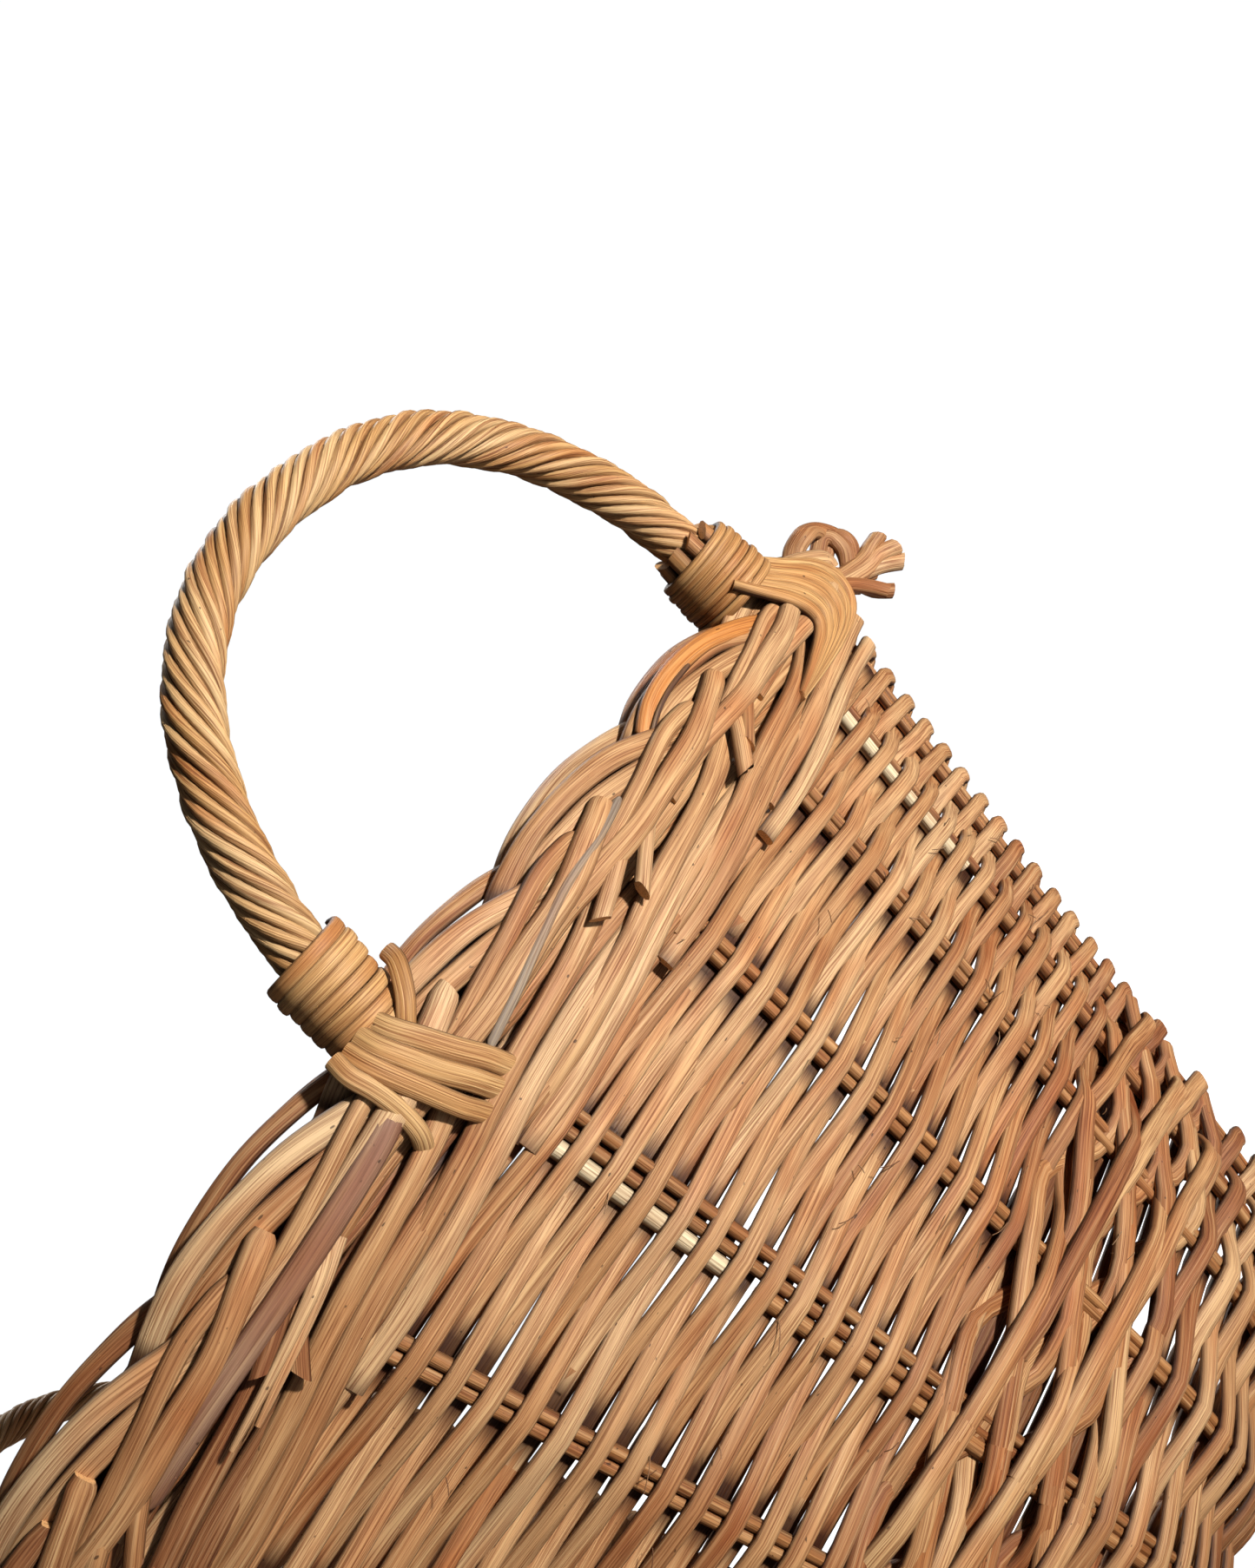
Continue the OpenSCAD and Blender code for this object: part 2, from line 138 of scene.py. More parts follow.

# %% Painted shade where a cane lies against another
# A cane is painted darker along its edges and on the face that lies against a rib or behind one:
# painted shade where the canes shade each other.
SHADE_PAINT_GAIN, SHADE_PAINT_FROM = 4.6, 3.4
EDGE_SHADE_PAINT, EDGE_GAIN, EDGE_LEAST = 1.1, 1.2, 0.6
BACK_BELOW, DOME_FROM, DOME_RISE = -0.5, -0.2, 1.1


def within(value):
    """The value, held between 0 and 1."""
    return min(1.0, max(0.0, value))


def painted_shade_at(y, bare):
    """Painted shade at height y of a profile: along the edges, and on the face that lies against a
    rib.
    """
    if y < BACK_BELOW:
        return within(SHADE_PAINT_GAIN * bare - SHADE_PAINT_FROM)
    top = within(-SHADE_PAINT_GAIN * bare - SHADE_PAINT_FROM)
    edge = max(EDGE_LEAST, within(EDGE_SHADE_PAINT + EDGE_GAIN * bare))
    return edge + (top - edge) * within((y - DOME_FROM) / DOME_RISE)


print("painted shade on the domed side, outside and inside a rib:", painted_shade_at(1, 1), painted_shade_at(1, -1))

# %% A piece made of canes
GIRTH, MERGE = 2.4, 1e-7


def share_of(value, i):
    """The value at point i of a path, or the one value for all of it."""
    return value[i] if isinstance(value, list) else value


class Piece:
    """Canes that are laid into one mesh."""

    def __init__(self):
        self.bm = bmesh.new()
        self.uv = self.bm.loops.layers.uv.new("UVMap")
        self.tone = self.bm.verts.layers.float.new("tone")
        # The painted shade of each point, from 0 to 1: how much darker the cane is painted there.
        self.painted_shade = self.bm.verts.layers.float.new("painted_shade")

    def lay(self, path, outs, width, thick, tone, shape=DOMED, cuts=(0, 0), leans=0, bare=1.0):
        """Lays a cane along path, with its domed side towards outs.

        Cuts slant its two ends and leans tip it sideways. Bare runs from 1 outside a rib to -1
        inside and places the painted shade, and None leaves the cane without painted shade.
        """
        rows, sides = len(path), len(shape)
        grid = bmesh.ops.create_grid(
            self.bm, x_segments=sides, y_segments=rows - 1, size=0.5, calc_uvs=True)
        frames = []
        for i, p in enumerate(path):
            t = (path[min(i + 1, rows - 1)] - path[max(i - 1, 0)]).normalized()
            n = (outs[i] - t * outs[i].dot(t)).normalized()
            b = t.cross(n)
            lean = share_of(leans, i)
            b, n = b * math.cos(lean) + n * math.sin(lean), n * math.cos(lean) - b * math.sin(lean)
            slant = cuts[0] if i == 0 else cuts[1] if i == rows - 1 else 0
            half_width, half_thick = share_of(width, i) / 2, share_of(thick, i) / 2
            frames.append((p, b * half_width, n * half_thick, t * slant, share_of(bare, i)))
        for v in grid["verts"]:
            x, y = shape[round((v.co.x + 0.5) * sides) % sides]
            p, b, n, t, exposed = frames[round((v.co.y + 0.5) * (rows - 1))]
            v.co = (p + b * x + n * y + t * x) * MM
            v[self.tone] = tone
            v[self.painted_shade] = 0.0 if exposed is None else painted_shade_at(y, exposed)
        length = sum((path[i + 1] - path[i]).length for i in range(rows - 1)) * MM
        around = GIRTH * share_of(width, rows // 2) * MM
        for face in {f for v in grid["verts"] for f in v.link_faces}:
            for loop in face.loops:
                loop[self.uv].uv = (loop[self.uv].uv.x * around, loop[self.uv].uv.y * length)

    def finish(self, name, finishes, slot, nodes=()):
        """Closes the canes, makes them an object under the root body and hides the CAD parts that
        it is given.
        """
        bm = self.bm
        bmesh.ops.remove_doubles(bm, verts=bm.verts, dist=MERGE)
        rims = [e for e in bm.edges if e.is_boundary]
        cut_faces = bmesh.ops.holes_fill(bm, edges=rims, sides=0)["faces"]
        bmesh.ops.recalc_face_normals(bm, faces=bm.faces)
        for face in bm.faces:
            face.smooth = True
        for face in cut_faces:
            face.material_index = 1
            face.smooth = False
            for edge in face.edges:
                edge.smooth = False
        mesh = bpy.data.meshes.new(name)
        bm.to_mesh(mesh)
        bm.free()
        for finish in finishes:
            mesh.materials.append(finish)
        piece = bpy.data.objects.new(name, mesh)
        bpy.context.scene.collection.objects.link(piece)
        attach(piece, "root")
        if nodes:
            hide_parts(*nodes)
        print(name, len(mesh.polygons), "faces")
        return piece


print("points of a cane merge within", MERGE, "m")

# %% Runs through a few stops
RUN_STEPS = 6
HEART_DEPTH, HEART_IN = 4, 12


def smooth(stops, steps):
    """A smooth run through the stops, with the given steps between each two."""
    run = []
    for k in range(len(stops) - 1):
        p = [stops[max(k - 1, 0)], stops[k], stops[k + 1], stops[min(k + 2, len(stops) - 1)]]
        for s in range(steps + (k == len(stops) - 2)):
            t = s / steps
            run.append(tuple(
                0.5 * (2 * b + (c - a) * t + (2 * a - 5 * b + 4 * c - e) * t * t
                       + (3 * b - a - 3 * c + e) * t ** 3)
                for a, b, c, e in zip(*p)))
    return run


def wall_run(stops, steps=RUN_STEPS):
    """Path and outward directions of a strand given by addresses on the wall and over the rim."""
    path, outs = [], []
    for a, d, o in smooth(stops, steps):
        p = place(a, d, o)
        heart = place(a, max(d, HEART_DEPTH) + 1, -HEART_IN)
        path.append(p)
        outs.append((p - heart).normalized())
    return path, outs


print("points of a run through four stops:", len(smooth([(0,), (1,), (3,), (4,)], RUN_STEPS)))

# %% Small differences from cane to cane
chance = random.Random(11)
ANY_PHASE = 6.3
PALE_UNDER, DARK_OVER = 0.08, 0.95
PALE, DARK = (0.18, 0.3), (0.82, 0.98)


def uneven(count, size, spread=0.05):
    """Widths along a cane that swell and shrink a little."""
    phase, beat = chance.uniform(0, ANY_PHASE), chance.uniform(0.25, 0.6)
    return [size * (1 + spread * math.sin(phase + beat * k)) for k in range(count)]


def some_tone(low=0.3, high=0.8):
    """Most canes are tan, a few are pale and a few are dark."""
    pick = chance.random()
    if pick < PALE_UNDER:
        return chance.uniform(*PALE)
    return chance.uniform(*DARK) if pick > DARK_OVER else chance.uniform(low, high)


print("tones run from", PALE[0], "to", DARK[1])

# %% [markdown]
# ## The cane's finish
# Split cane is a bundle of straight fibres. Its colour runs in fine streaks along the strand, with
# broader bands, small dark nicks, and a change from strand to strand. An image could be painted for
# it, but a pattern made of nodes stays sharp close up and follows each strand's own UV map. One
# node group makes the streaks and the painted shade, darker along each cane's edges and where it
# lies against or behind a rib, and every cane material places it with its own colours.
# A second material gives the cut ends their pale pith and dark pores.


# %% Colours of the fibres
def srgb(text):
    """A linear colour from a hex code."""
    parts = [int(text[i:i + 2], 16) / 255 for i in (0, 2, 4)]
    return tuple(c / 12.92 if c <= 0.04045 else ((c + 0.055) / 1.055) ** 2.4 for c in parts) + (1,)


PALE_BAND, WARM_PATCH, GROOVE = srgb("E6C492"), srgb("E2A878"), srgb("A87448")
# DARK_FIBRE and NICK are the cane's own dark marks; the third colour is the dark brown used for the
# painted shade.
DARK_FIBRE, NICK, SHADE_PAINT = srgb("94643C"), srgb("3A2214"), srgb("4C301C")
print("painted shade, in linear light:", tuple(round(c, 3) for c in SHADE_PAINT[:3]))


# %% The fibre node group
def fibre_and_shade_group():
    """Turns a cane's colour, tone, streaks and painted shade into its colour, roughness and height.
    """
    group = bpy.data.node_groups.new("cane_fibre_and_shade", "ShaderNodeTree")
    for name, kind in (("Colour", "NodeSocketColor"), ("Tone", "NodeSocketFloat"),
                       ("Streaks", "NodeSocketFloat"), ("Painted shade", "NodeSocketFloat")):
        group.interface.new_socket(name, in_out="INPUT", socket_type=kind)
    for name, kind in (("Colour", "NodeSocketColor"), ("Roughness", "NodeSocketFloat"),
                       ("Height", "NodeSocketFloat")):
        group.interface.new_socket(name, in_out="OUTPUT", socket_type=kind)
    nodes, links = group.nodes, group.links
    into, out = nodes.new("NodeGroupInput"), nodes.new("NodeGroupOutput")
    uv = nodes.new("ShaderNodeUVMap")
    uv.uv_map = "UVMap"
    split = nodes.new("ShaderNodeSeparateXYZ")
    links.new(uv.outputs["UV"], split.inputs[0])

    def math_node(kind, a, b):
        node = nodes.new("ShaderNodeMath")
        node.operation = kind
        for socket, value in zip(node.inputs, (a, b)):
            if isinstance(value, (int, float)):
                socket.default_value = value
            else:
                links.new(value, socket)
        return node.outputs[0]

    def streak(across, along, shift, detail):
        join = nodes.new("ShaderNodeCombineXYZ")
        links.new(math_node("MULTIPLY", split.outputs["X"], across), join.inputs["X"])
        links.new(math_node("MULTIPLY", split.outputs["Y"], along), join.inputs["Y"])
        links.new(math_node("MULTIPLY", into.outputs["Tone"], shift), join.inputs["Z"])
        noise = nodes.new("ShaderNodeTexNoise")
        noise.inputs["Scale"].default_value = 1.0
        noise.inputs["Detail"].default_value = detail
        links.new(join.outputs[0], noise.inputs["Vector"])
        return noise.outputs["Fac"]

    fine = streak(across=4200, along=46, shift=931, detail=4)
    broad = streak(across=1150, along=15, shift=577, detail=3)
    patch = streak(across=110, along=24, shift=311, detail=2)
    nick = streak(across=800, along=380, shift=173, detail=1)

    def ramp(value, low, high, from_low, from_high):
        node = nodes.new("ShaderNodeMapRange")
        node.inputs["From Min"].default_value = from_low
        node.inputs["From Max"].default_value = from_high
        node.inputs["To Min"].default_value = low
        node.inputs["To Max"].default_value = high
        links.new(value, node.inputs["Value"])
        return node.outputs["Result"]

    def blend(kind, amount, a, b):
        node = nodes.new("ShaderNodeMix")
        node.data_type, node.blend_type = "RGBA", kind
        for index, value in ((0, amount), (6, a), (7, b)):
            if isinstance(value, (int, float, tuple)):
                node.inputs[index].default_value = value
            else:
                links.new(value, node.inputs[index])
        return node.outputs[2]

    light = math_node("MULTIPLY", ramp(broad, 0.0, 0.44, 0.47, 0.7), into.outputs["Streaks"])
    groove = math_node("MULTIPLY", ramp(broad, 0.55, 0.0, 0.27, 0.48), into.outputs["Streaks"])
    dark = math_node("MULTIPLY", ramp(fine, 0.95, 0.0, 0.34, 0.56), into.outputs["Streaks"])
    warm = ramp(patch, 0.0, 0.6, 0.48, 0.72)
    tint = blend("MIX", light, into.outputs["Colour"], PALE_BAND)
    tint = blend("MULTIPLY", warm, tint, WARM_PATCH)
    tint = blend("MULTIPLY", groove, tint, GROOVE)
    tint = blend("MULTIPLY", dark, tint, DARK_FIBRE)
    tint = blend("MIX", ramp(nick, 0.0, 0.8, 0.76, 0.8), tint, NICK)
    # Painted shade: the colour is multiplied towards dark brown along each cane's edges and where
    # it lies against or behind a rib.
    tint = blend("MULTIPLY", into.outputs["Painted shade"], tint, SHADE_PAINT)
    links.new(tint, out.inputs["Colour"])
    links.new(ramp(fine, 0.66, 0.44, 0.3, 0.7), out.inputs["Roughness"])
    relief = math_node("MULTIPLY", fine, 0.6), math_node("MULTIPLY", broad, 0.55)
    links.new(math_node("ADD", *relief), out.inputs["Height"])
    return group


FIBRE_AND_SHADE = fibre_and_shade_group()
print("fibre group nodes:", len(FIBRE_AND_SHADE.nodes))

# %% Cut ends
PORES_PER_METRE, PITH_ROUGHNESS = 1900, 0.8


def pith_finish(pore, pith, pore_size):
    """A dull cut surface, dark at its pores and pale between them."""
    finish = bpy.data.materials.new("cut_pith")
    finish.use_nodes = True
    nodes, links = finish.node_tree.nodes, finish.node_tree.links
    shader = nodes["Principled BSDF"]
    shader.inputs["Roughness"].default_value = PITH_ROUGHNESS
    where = nodes.new("ShaderNodeTexCoord")
    spots = nodes.new("ShaderNodeTexVoronoi")
    spots.inputs["Scale"].default_value = PORES_PER_METRE
    links.new(where.outputs["Object"], spots.inputs["Vector"])
    colours = nodes.new("ShaderNodeValToRGB")
    colours.color_ramp.elements[0].color = srgb(pore)
    colours.color_ramp.elements[1].color = srgb(pith)
    colours.color_ramp.elements[1].position = pore_size
    links.new(spots.outputs["Distance"], colours.inputs["Fac"])
    links.new(colours.outputs["Color"], shader.inputs["Base Color"])
    return finish


PITH = pith_finish("5E3A1E", "D2A06A", 0.45)
print("cut ends:", PITH.name)

# %% Cane materials
SHEEN, BUMP_STRENGTH, BUMP_HEIGHT = 0.35, 0.85, 0.0005


def cane_finish(name, streaks, tones):
    """A cane material whose colour follows each strand's tone through the given stops."""
    finish = bpy.data.materials.new(name)
    finish.use_nodes = True
    nodes, links = finish.node_tree.nodes, finish.node_tree.links
    shader = nodes["Principled BSDF"]
    shader.inputs["Specular IOR Level"].default_value = SHEEN
    tone = nodes.new("ShaderNodeAttribute")
    tone.attribute_name = "tone"
    colours = nodes.new("ShaderNodeValToRGB")
    stops = colours.color_ramp.elements
    while len(stops) < len(tones):
        stops.new(0.5)
    for stop, (at, code) in zip(stops, tones):
        stop.position, stop.color = at, srgb(code)
    links.new(tone.outputs["Fac"], colours.inputs["Fac"])
    fibre_and_shade = nodes.new("ShaderNodeGroup")
    fibre_and_shade.node_tree = FIBRE_AND_SHADE
    fibre_and_shade.inputs["Streaks"].default_value = streaks
    links.new(colours.outputs["Color"], fibre_and_shade.inputs["Colour"])
    links.new(tone.outputs["Fac"], fibre_and_shade.inputs["Tone"])
    # The attribute with the painted shade darkens the colour inside the group.
    painted_shade = nodes.new("ShaderNodeAttribute")
    painted_shade.attribute_name = "painted_shade"
    links.new(painted_shade.outputs["Fac"], fibre_and_shade.inputs["Painted shade"])
    bump = nodes.new("ShaderNodeBump")
    bump.inputs["Strength"].default_value = BUMP_STRENGTH
    bump.inputs["Distance"].default_value = BUMP_HEIGHT
    links.new(fibre_and_shade.outputs["Colour"], shader.inputs["Base Color"])
    links.new(fibre_and_shade.outputs["Roughness"], shader.inputs["Roughness"])
    links.new(fibre_and_shade.outputs["Height"], bump.inputs["Height"])
    links.new(bump.outputs["Normal"], shader.inputs["Normal"])
    return finish


TONES = {
    "rib": (0.8, [(0.0, "F0E2BE"), (0.16, "E0BE90"), (0.5, "B07A48"), (1.0, "7A4826")]),
    "weaver": (0.85, [(0.05, "DABA90"), (0.25, "CBA072"), (0.5, "BD8D5E"), (0.75, "A87349"),
                      (1.0, "845030")]),
    "band": (0.85, [(0.05, "DAB686"), (0.3, "CAA070"), (0.6, "B47C4C"), (1.0, "8C5432")]),
    "border": (0.85, [(0.05, "E0C59C"), (0.25, "CFA87C"), (0.5, "BF9162"), (0.75, "AC794E"),
                      (1.0, "845233")]),
    "bark": (0.6, [(0.0, "D08A46"), (0.3, "C27C3E"), (0.5, "94705C"), (0.75, "8C7E70"),
                   (1.0, "5A4030")]),
    "handle": (0.9, [(0.05, "E4C696"), (0.4, "D4AA74"), (0.7, "C49458"), (1.0, "9C683C")]),
    "binding": (0.85, [(0.05, "DDB884"), (0.4, "CC9C62"), (0.7, "B98650"), (1.0, "8E5A34")]),
}
CANE = {kind: cane_finish(kind + "_cane", *values) for kind, values in TONES.items()}
print("finishes:", ", ".join(CANE))

# %% [markdown]
# ## Ribs
# Each rib is a bundle of two or three peeled rods that lie side by side. They start inside the
# border, run down the wall, bend, and only the middle one goes on to the knot on the floor. A few
# rods were replaced with fresh cream-coloured ones. The CAD rods could be shown as they are, but
# they all have one thickness, so each rod is laid again with its own thickness, place and tone.

# %% Rods of each rib, as their shift from its middle and their thickness
PAIR, TRIO = [(-2.15, 4.2), (2.15, 4.2)], [(-3.9, 3.8), (0, 3.8), (3.9, 3.8)]
OWN_RODS = {0: [(0, 3.6), (3.6, 3.6)], 1: [(-2.6, 3.6), (2.0, 5.2)], 2: PAIR, 3: PAIR, 5: PAIR,
            4: [(-5.2, 4.0), (-0.4, 4.0), (4.6, 5.6)], LAST: [(0, 3.6), (-3.6, 3.6)]}
RODS = [OWN_RODS.get(i, TRIO) for i in range(len(RIBS))]
FRESH_UNTIL = {(1, 1): 115.0, (4, 2): 124.0, (12, 2): 124.0}
FRESH_TONE, ROD_TONES = 0.02, (0.45, 0.8)
print("rods:", sum(len(rods) for rods in RODS), "and fresh among them:", len(FRESH_UNTIL))

# %% Rib rods
RIB_STEP, CORE_SHARE, TUCK_TURN = 9.0, 0.45, math.radians(24)
DRAW_IN, TAPER, LEAST_ROD = 0.35, 0.3, 3.0
ribs = Piece()
for i, a in enumerate(RIBS):
    slope, bend, wall, floor_r, length = rib_line(a)
    side = Vector((math.sin(math.radians(a)), math.cos(math.radians(a)), 0))
    for j, (shift, thick) in enumerate(RODS[i]):
        end = wall + bend * (slope - TUCK_TURN)
        if j == len(RODS[i]) // 2:
            end = length + floor_r - KNOT_R * CORE_SHARE
        count = int(end / RIB_STEP)
        depths = [end * k / count for k in range(count + 1)]
        path = [place(a, d, 0) + side * (shift * min(1, (length - d) / length + DRAW_IN))
                for d in depths]
        outs = [outward(a, d) for d in depths]
        thin = [thick if d < wall else max(LEAST_ROD, thick * (1 - TAPER * (d - wall) / length))
                for d in depths]
        fresh = sum(d < FRESH_UNTIL.get((i, j), 0.0) for d in depths)
        # Each rod is laid with bare 0, which paints shade along its two sides.
        if fresh:
            ribs.lay(path[:fresh], outs, thin, thin, FRESH_TONE, ROUND, bare=0.0)
        ribs.lay(path[fresh:], outs[fresh:], thin[fresh:], thin[fresh:],
                 chance.uniform(*ROD_TONES), ROUND, bare=0.0)
ribs.finish("rib_rods", [CANE["rib"], PITH], "rib_cane", ["rib_%02d" % k for k in range(1, 18)])

# %% [markdown]
# ## Plain weave
# A weaver passes outside one rib and inside the next, so its distance from the wall follows a
# cosine from rib to rib, and between the ribs it is pulled straight. Neighbouring rows do the
# opposite, so between two ribs every pair of strips crosses. A strip is narrower where it lies
# outside, which leaves small windows on the ribs, and it is painted darker where it lies against a
# rib or passes behind one, as painted shade. At the open front edge each outer row turns round the
# edge rib and comes back inside as the next row, which makes the row of knuckles. One row could be
# copied by an array, but the wall narrows towards the floor, and hand work has joins and a small
# wander in every row, so each row is laid by itself.

# %% Rows of the weave
STEPS, KNUCKLE_STEPS = 9, 7
ROW_PITCH, LOW_PITCH, WEAVE_DROP = 5.2, 6.5, 11.0
BAND_DROP, BAND_ROWS, BAND_PITCH = 186.0, 5, 10.4
SIDE_LENGTH = rib_line(RIBS[0])[4]
BAND_END = BAND_DROP + BAND_ROWS * BAND_PITCH
SIDE_ROWS = int((BAND_DROP - WEAVE_DROP) / ROW_PITCH)
LOW_ROWS = int((SIDE_LENGTH - BAND_END) / LOW_PITCH)
FLOOR_ROWS = int((rib_line(RIBS[0])[3] - KNOT_R) / LOW_PITCH)


def depth_at(a, u):
    """Depth of a row at angle a: share u of the rib's wall, or u - 1 of its floor."""
    length, floor_r = rib_line(a)[4], rib_line(a)[3]
    return u * length if u <= 1 else length + (u - 1) * (floor_r - KNOT_R)


def row_side(i, row):
    """1 where the row passes outside rib i, and -1 where it passes inside."""
    return 1 if (i + row) % 2 == 0 else -1


print("rows of the side, the lower wall and the floor:", SIDE_ROWS, LOW_ROWS, FLOOR_ROWS)

# %% The path of one row
WANDER, WANDER_BEAT, WANDER_PHASE = 0.4, 0.23, 6.28
SINK, SINK_SPREAD = -0.35, 0.6
PULL, PULL_UNTIL, KNUCKLE_REACH = 3.4, 0.8, 2.4


def knuckle(rib, way, u, over, pitch, sink):
    """Addresses of a row's turn round an edge rib, from outside to the next row inside."""
    a = RIBS[rib]
    r = profile(a, depth_at(a, u))[0]
    turn = []
    for k in range(1, KNUCKLE_STEPS + 1):
        w = k * math.pi / KNUCKLE_STEPS
        c = math.cos(w)
        reach = math.degrees((over + KNUCKLE_REACH) * math.sin(w) / r)
        depth = depth_at(a, u) + sink * c + way * pitch * k / KNUCKLE_STEPS
        turn.append((a - way * reach, depth, over * c, c))
    return turn


def row_addresses(u, row, over, pitch):
    """Addresses of a row, each with its side, from 1 outside a rib to -1 inside."""
    wave = chance.uniform(0, WANDER_PHASE)
    sinks = [SINK + chance.uniform(-SINK_SPREAD, SINK_SPREAD) for i in RIBS]
    run = []
    for i in range(LAST):
        span = RIBS[i + 1] - RIBS[i]
        for s in range(STEPS):
            t = s / STEPS
            a = RIBS[i] + span * t
            c = row_side(i, row) * math.cos(math.pi * t)
            drift = WANDER * math.sin(WANDER_BEAT * (i * STEPS + s) + wave)
            drift += (sinks[i] + (sinks[i + 1] - sinks[i]) * t) * c
            bow = rim_r(a) * (1 - math.cos(math.radians(span) / 2))
            flat = bow * PULL * t * (1 - t) * (u < PULL_UNTIL)
            run.append((a, depth_at(a, u) + drift, over * c - flat, c))
    side = row_side(LAST, row)
    run.append((RIBS[LAST], depth_at(RIBS[LAST], u) + sinks[LAST] * side, side * over, side))
    if row_side(0, row) > 0:
        run = knuckle(0, 1, u, over, pitch, sinks[0])[::-1] + run
        run += knuckle(LAST, -1, u, over, pitch, sinks[LAST])
    return run


print("points of a plain row:", LAST * STEPS + 1, "and of each knuckle:", KNUCKLE_STEPS)

# %% The canes of one row
SHINGLE, UPRIGHT = math.radians(-10), 0.75
MID_WIDTH, INNER_GAIN, OUTER_LOSS = 0.84, 0.48, 0.02
KNUCKLE_WIDTH, KNUCKLE_GAIN, KNUCKLE_SWELL = 0.83, 0.2, 0.5
JOIN_CHANCE, JOIN_LAP, LEAST_CANE = 0.3, 2, 4
WEAVER_TONES, WEAVER_SIZES = (0.24, 0.82), (0.93, 1.06)


def weave_row(piece, u, row, over, pitch, width, thick, tones, tip=SHINGLE):
    """Lays one row, in cane lengths that meet behind a rib."""
    run = row_addresses(u, row, over, pitch)
    path = [place(a, d, o) for a, d, o, c in run]
    outs = [outward(a, d) for a, d, o, c in run]
    # The side of each point also places the painted shade: darker where the strip lies against a
    # rib or behind one.
    bare = [c for a, d, o, c in run]
    leans = [tip * (1 - UPRIGHT * c * c) for c in bare]
    slim = [MID_WIDTH - (INNER_GAIN * c if c < 0 else OUTER_LOSS * c * c) for c in bare]
    full = [1.0] * len(run)
    lead = KNUCKLE_STEPS if row_side(0, row) > 0 else 0
    for k in list(range(lead)) + [-1 - k for k in range(lead)]:
        leans[k] = 0.0
        slim[k] = KNUCKLE_WIDTH + (bare[k] < 0) * KNUCKLE_GAIN * bare[k] ** 2
        full[k] = 1 + KNUCKLE_SWELL * (1 - bare[k] ** 2)
    joins = [i for i in range(2, LAST - 1)
             if row_side(i, row) < 0 and chance.random() < JOIN_CHANCE]
    stops = [0] + [lead + i * STEPS for i in joins] + [len(run) - 1]
    pair = row // 2 if row_side(0, row) > 0 else (row - 1) // 2
    for k in range(len(stops) - 1):
        first = max(stops[k] - (JOIN_LAP if k else 0), 0)
        last = min(stops[k + 1] + JOIN_LAP, len(run) - 1)
        if last - first < LEAST_CANE:
            continue
        part = slice(first, last + 1)
        tone = tones.setdefault((pair, k), some_tone(*WEAVER_TONES))
        size = width * chance.uniform(*WEAVER_SIZES)
        widths = [w * s for w, s in zip(uneven(last - first + 1, size), slim[part])]
        piece.lay(path[part], outs[part], widths, [thick * f for f in full[part]], tone,
                  leans=leans[part], bare=bare[part])


print("share of a strip's width outside and inside a rib:", round(MID_WIDTH - OUTER_LOSS, 2),
      round(MID_WIDTH + INNER_GAIN, 2))

# %% Side, lower and floor weave
side_weave, shared = Piece(), {}
for k in range(SIDE_ROWS):
    u = (BAND_DROP - (SIDE_ROWS - k - 0.5) * ROW_PITCH) / SIDE_LENGTH
    weave_row(side_weave, u, k, over=3.5, pitch=ROW_PITCH, width=7.2, thick=2.5, tones=shared)
side_weave.finish("side_weave", [CANE["weaver"], PITH], "weaver_cane", ["side_weavers"])

low_weave, shared = Piece(), {}
for k in range(LOW_ROWS):
    u = (BAND_END + (k + 0.5) * LOW_PITCH) / SIDE_LENGTH
    weave_row(low_weave, u, k + 1, over=4.0, pitch=LOW_PITCH, width=8.7, thick=3.0, tones=shared)
low_weave.finish("lower_weave", [CANE["weaver"], PITH], "weaver_cane", ["lower_weavers"])

floor_weave, shared = Piece(), {}
for k in range(FLOOR_ROWS):
    weave_row(floor_weave, 1 + (k + 0.5) / FLOOR_ROWS, LOW_ROWS + k + 1, over=2.6,
              pitch=LOW_PITCH, width=8.4, thick=1.8, tones=shared, tip=0.0)
floor_weave.finish("floor_weave", [CANE["weaver"], PITH], "weaver_cane", ["floor_weavers"])

# %% [markdown]
# ## Twined band
# In the band the strands work in two families. Long slants pass outside two ribs and inside the
# third and rise gently, and between them shorter strands cross steeply under the slants, so the
# strands meet in V shapes and hide the ribs. On the inside a few flat canes close the band. One
# strand repeated all over would be simpler, but only two families with their own periods give the
# V shapes, so one function takes the period, the steepness and the reach of each family.

# %% The path of a band strand
BAND_BEHIND, BAND_SWING = 3.4, 1.7


def band_depth(k):
    """Depth of the middle of the band's row k, on the edge rib."""
    return BAND_DROP + (k + 0.5) * BAND_PITCH


def band_run(k, shift, over, period, steep, out):
    """Addresses of a band strand in row k: out for over of each period of ribs, then behind one."""
    run = []
    for s in range(LAST * STEPS + 1):
        x = s / STEPS
        i = min(int(x), LAST - 1)
        a = RIBS[i] + (RIBS[i + 1] - RIBS[i]) * (x - i)
        p = (x + shift) % period
        if p < over:
            climb = -0.5 * math.cos(math.pi * p / over)
            o = out * min(1, BAND_SWING * math.sin(math.pi * p / over))
        else:
            q = (p - over) / (period - over)
            climb, o = 0.5 * math.cos(math.pi * q), -BAND_BEHIND * math.sin(math.pi * q)
        run.append((a, depth_at(a, (band_depth(k) + climb * steep) / SIDE_LENGTH), o))
    return run


print("the band runs from", BAND_DROP, "to", BAND_END, "mm under the rim")

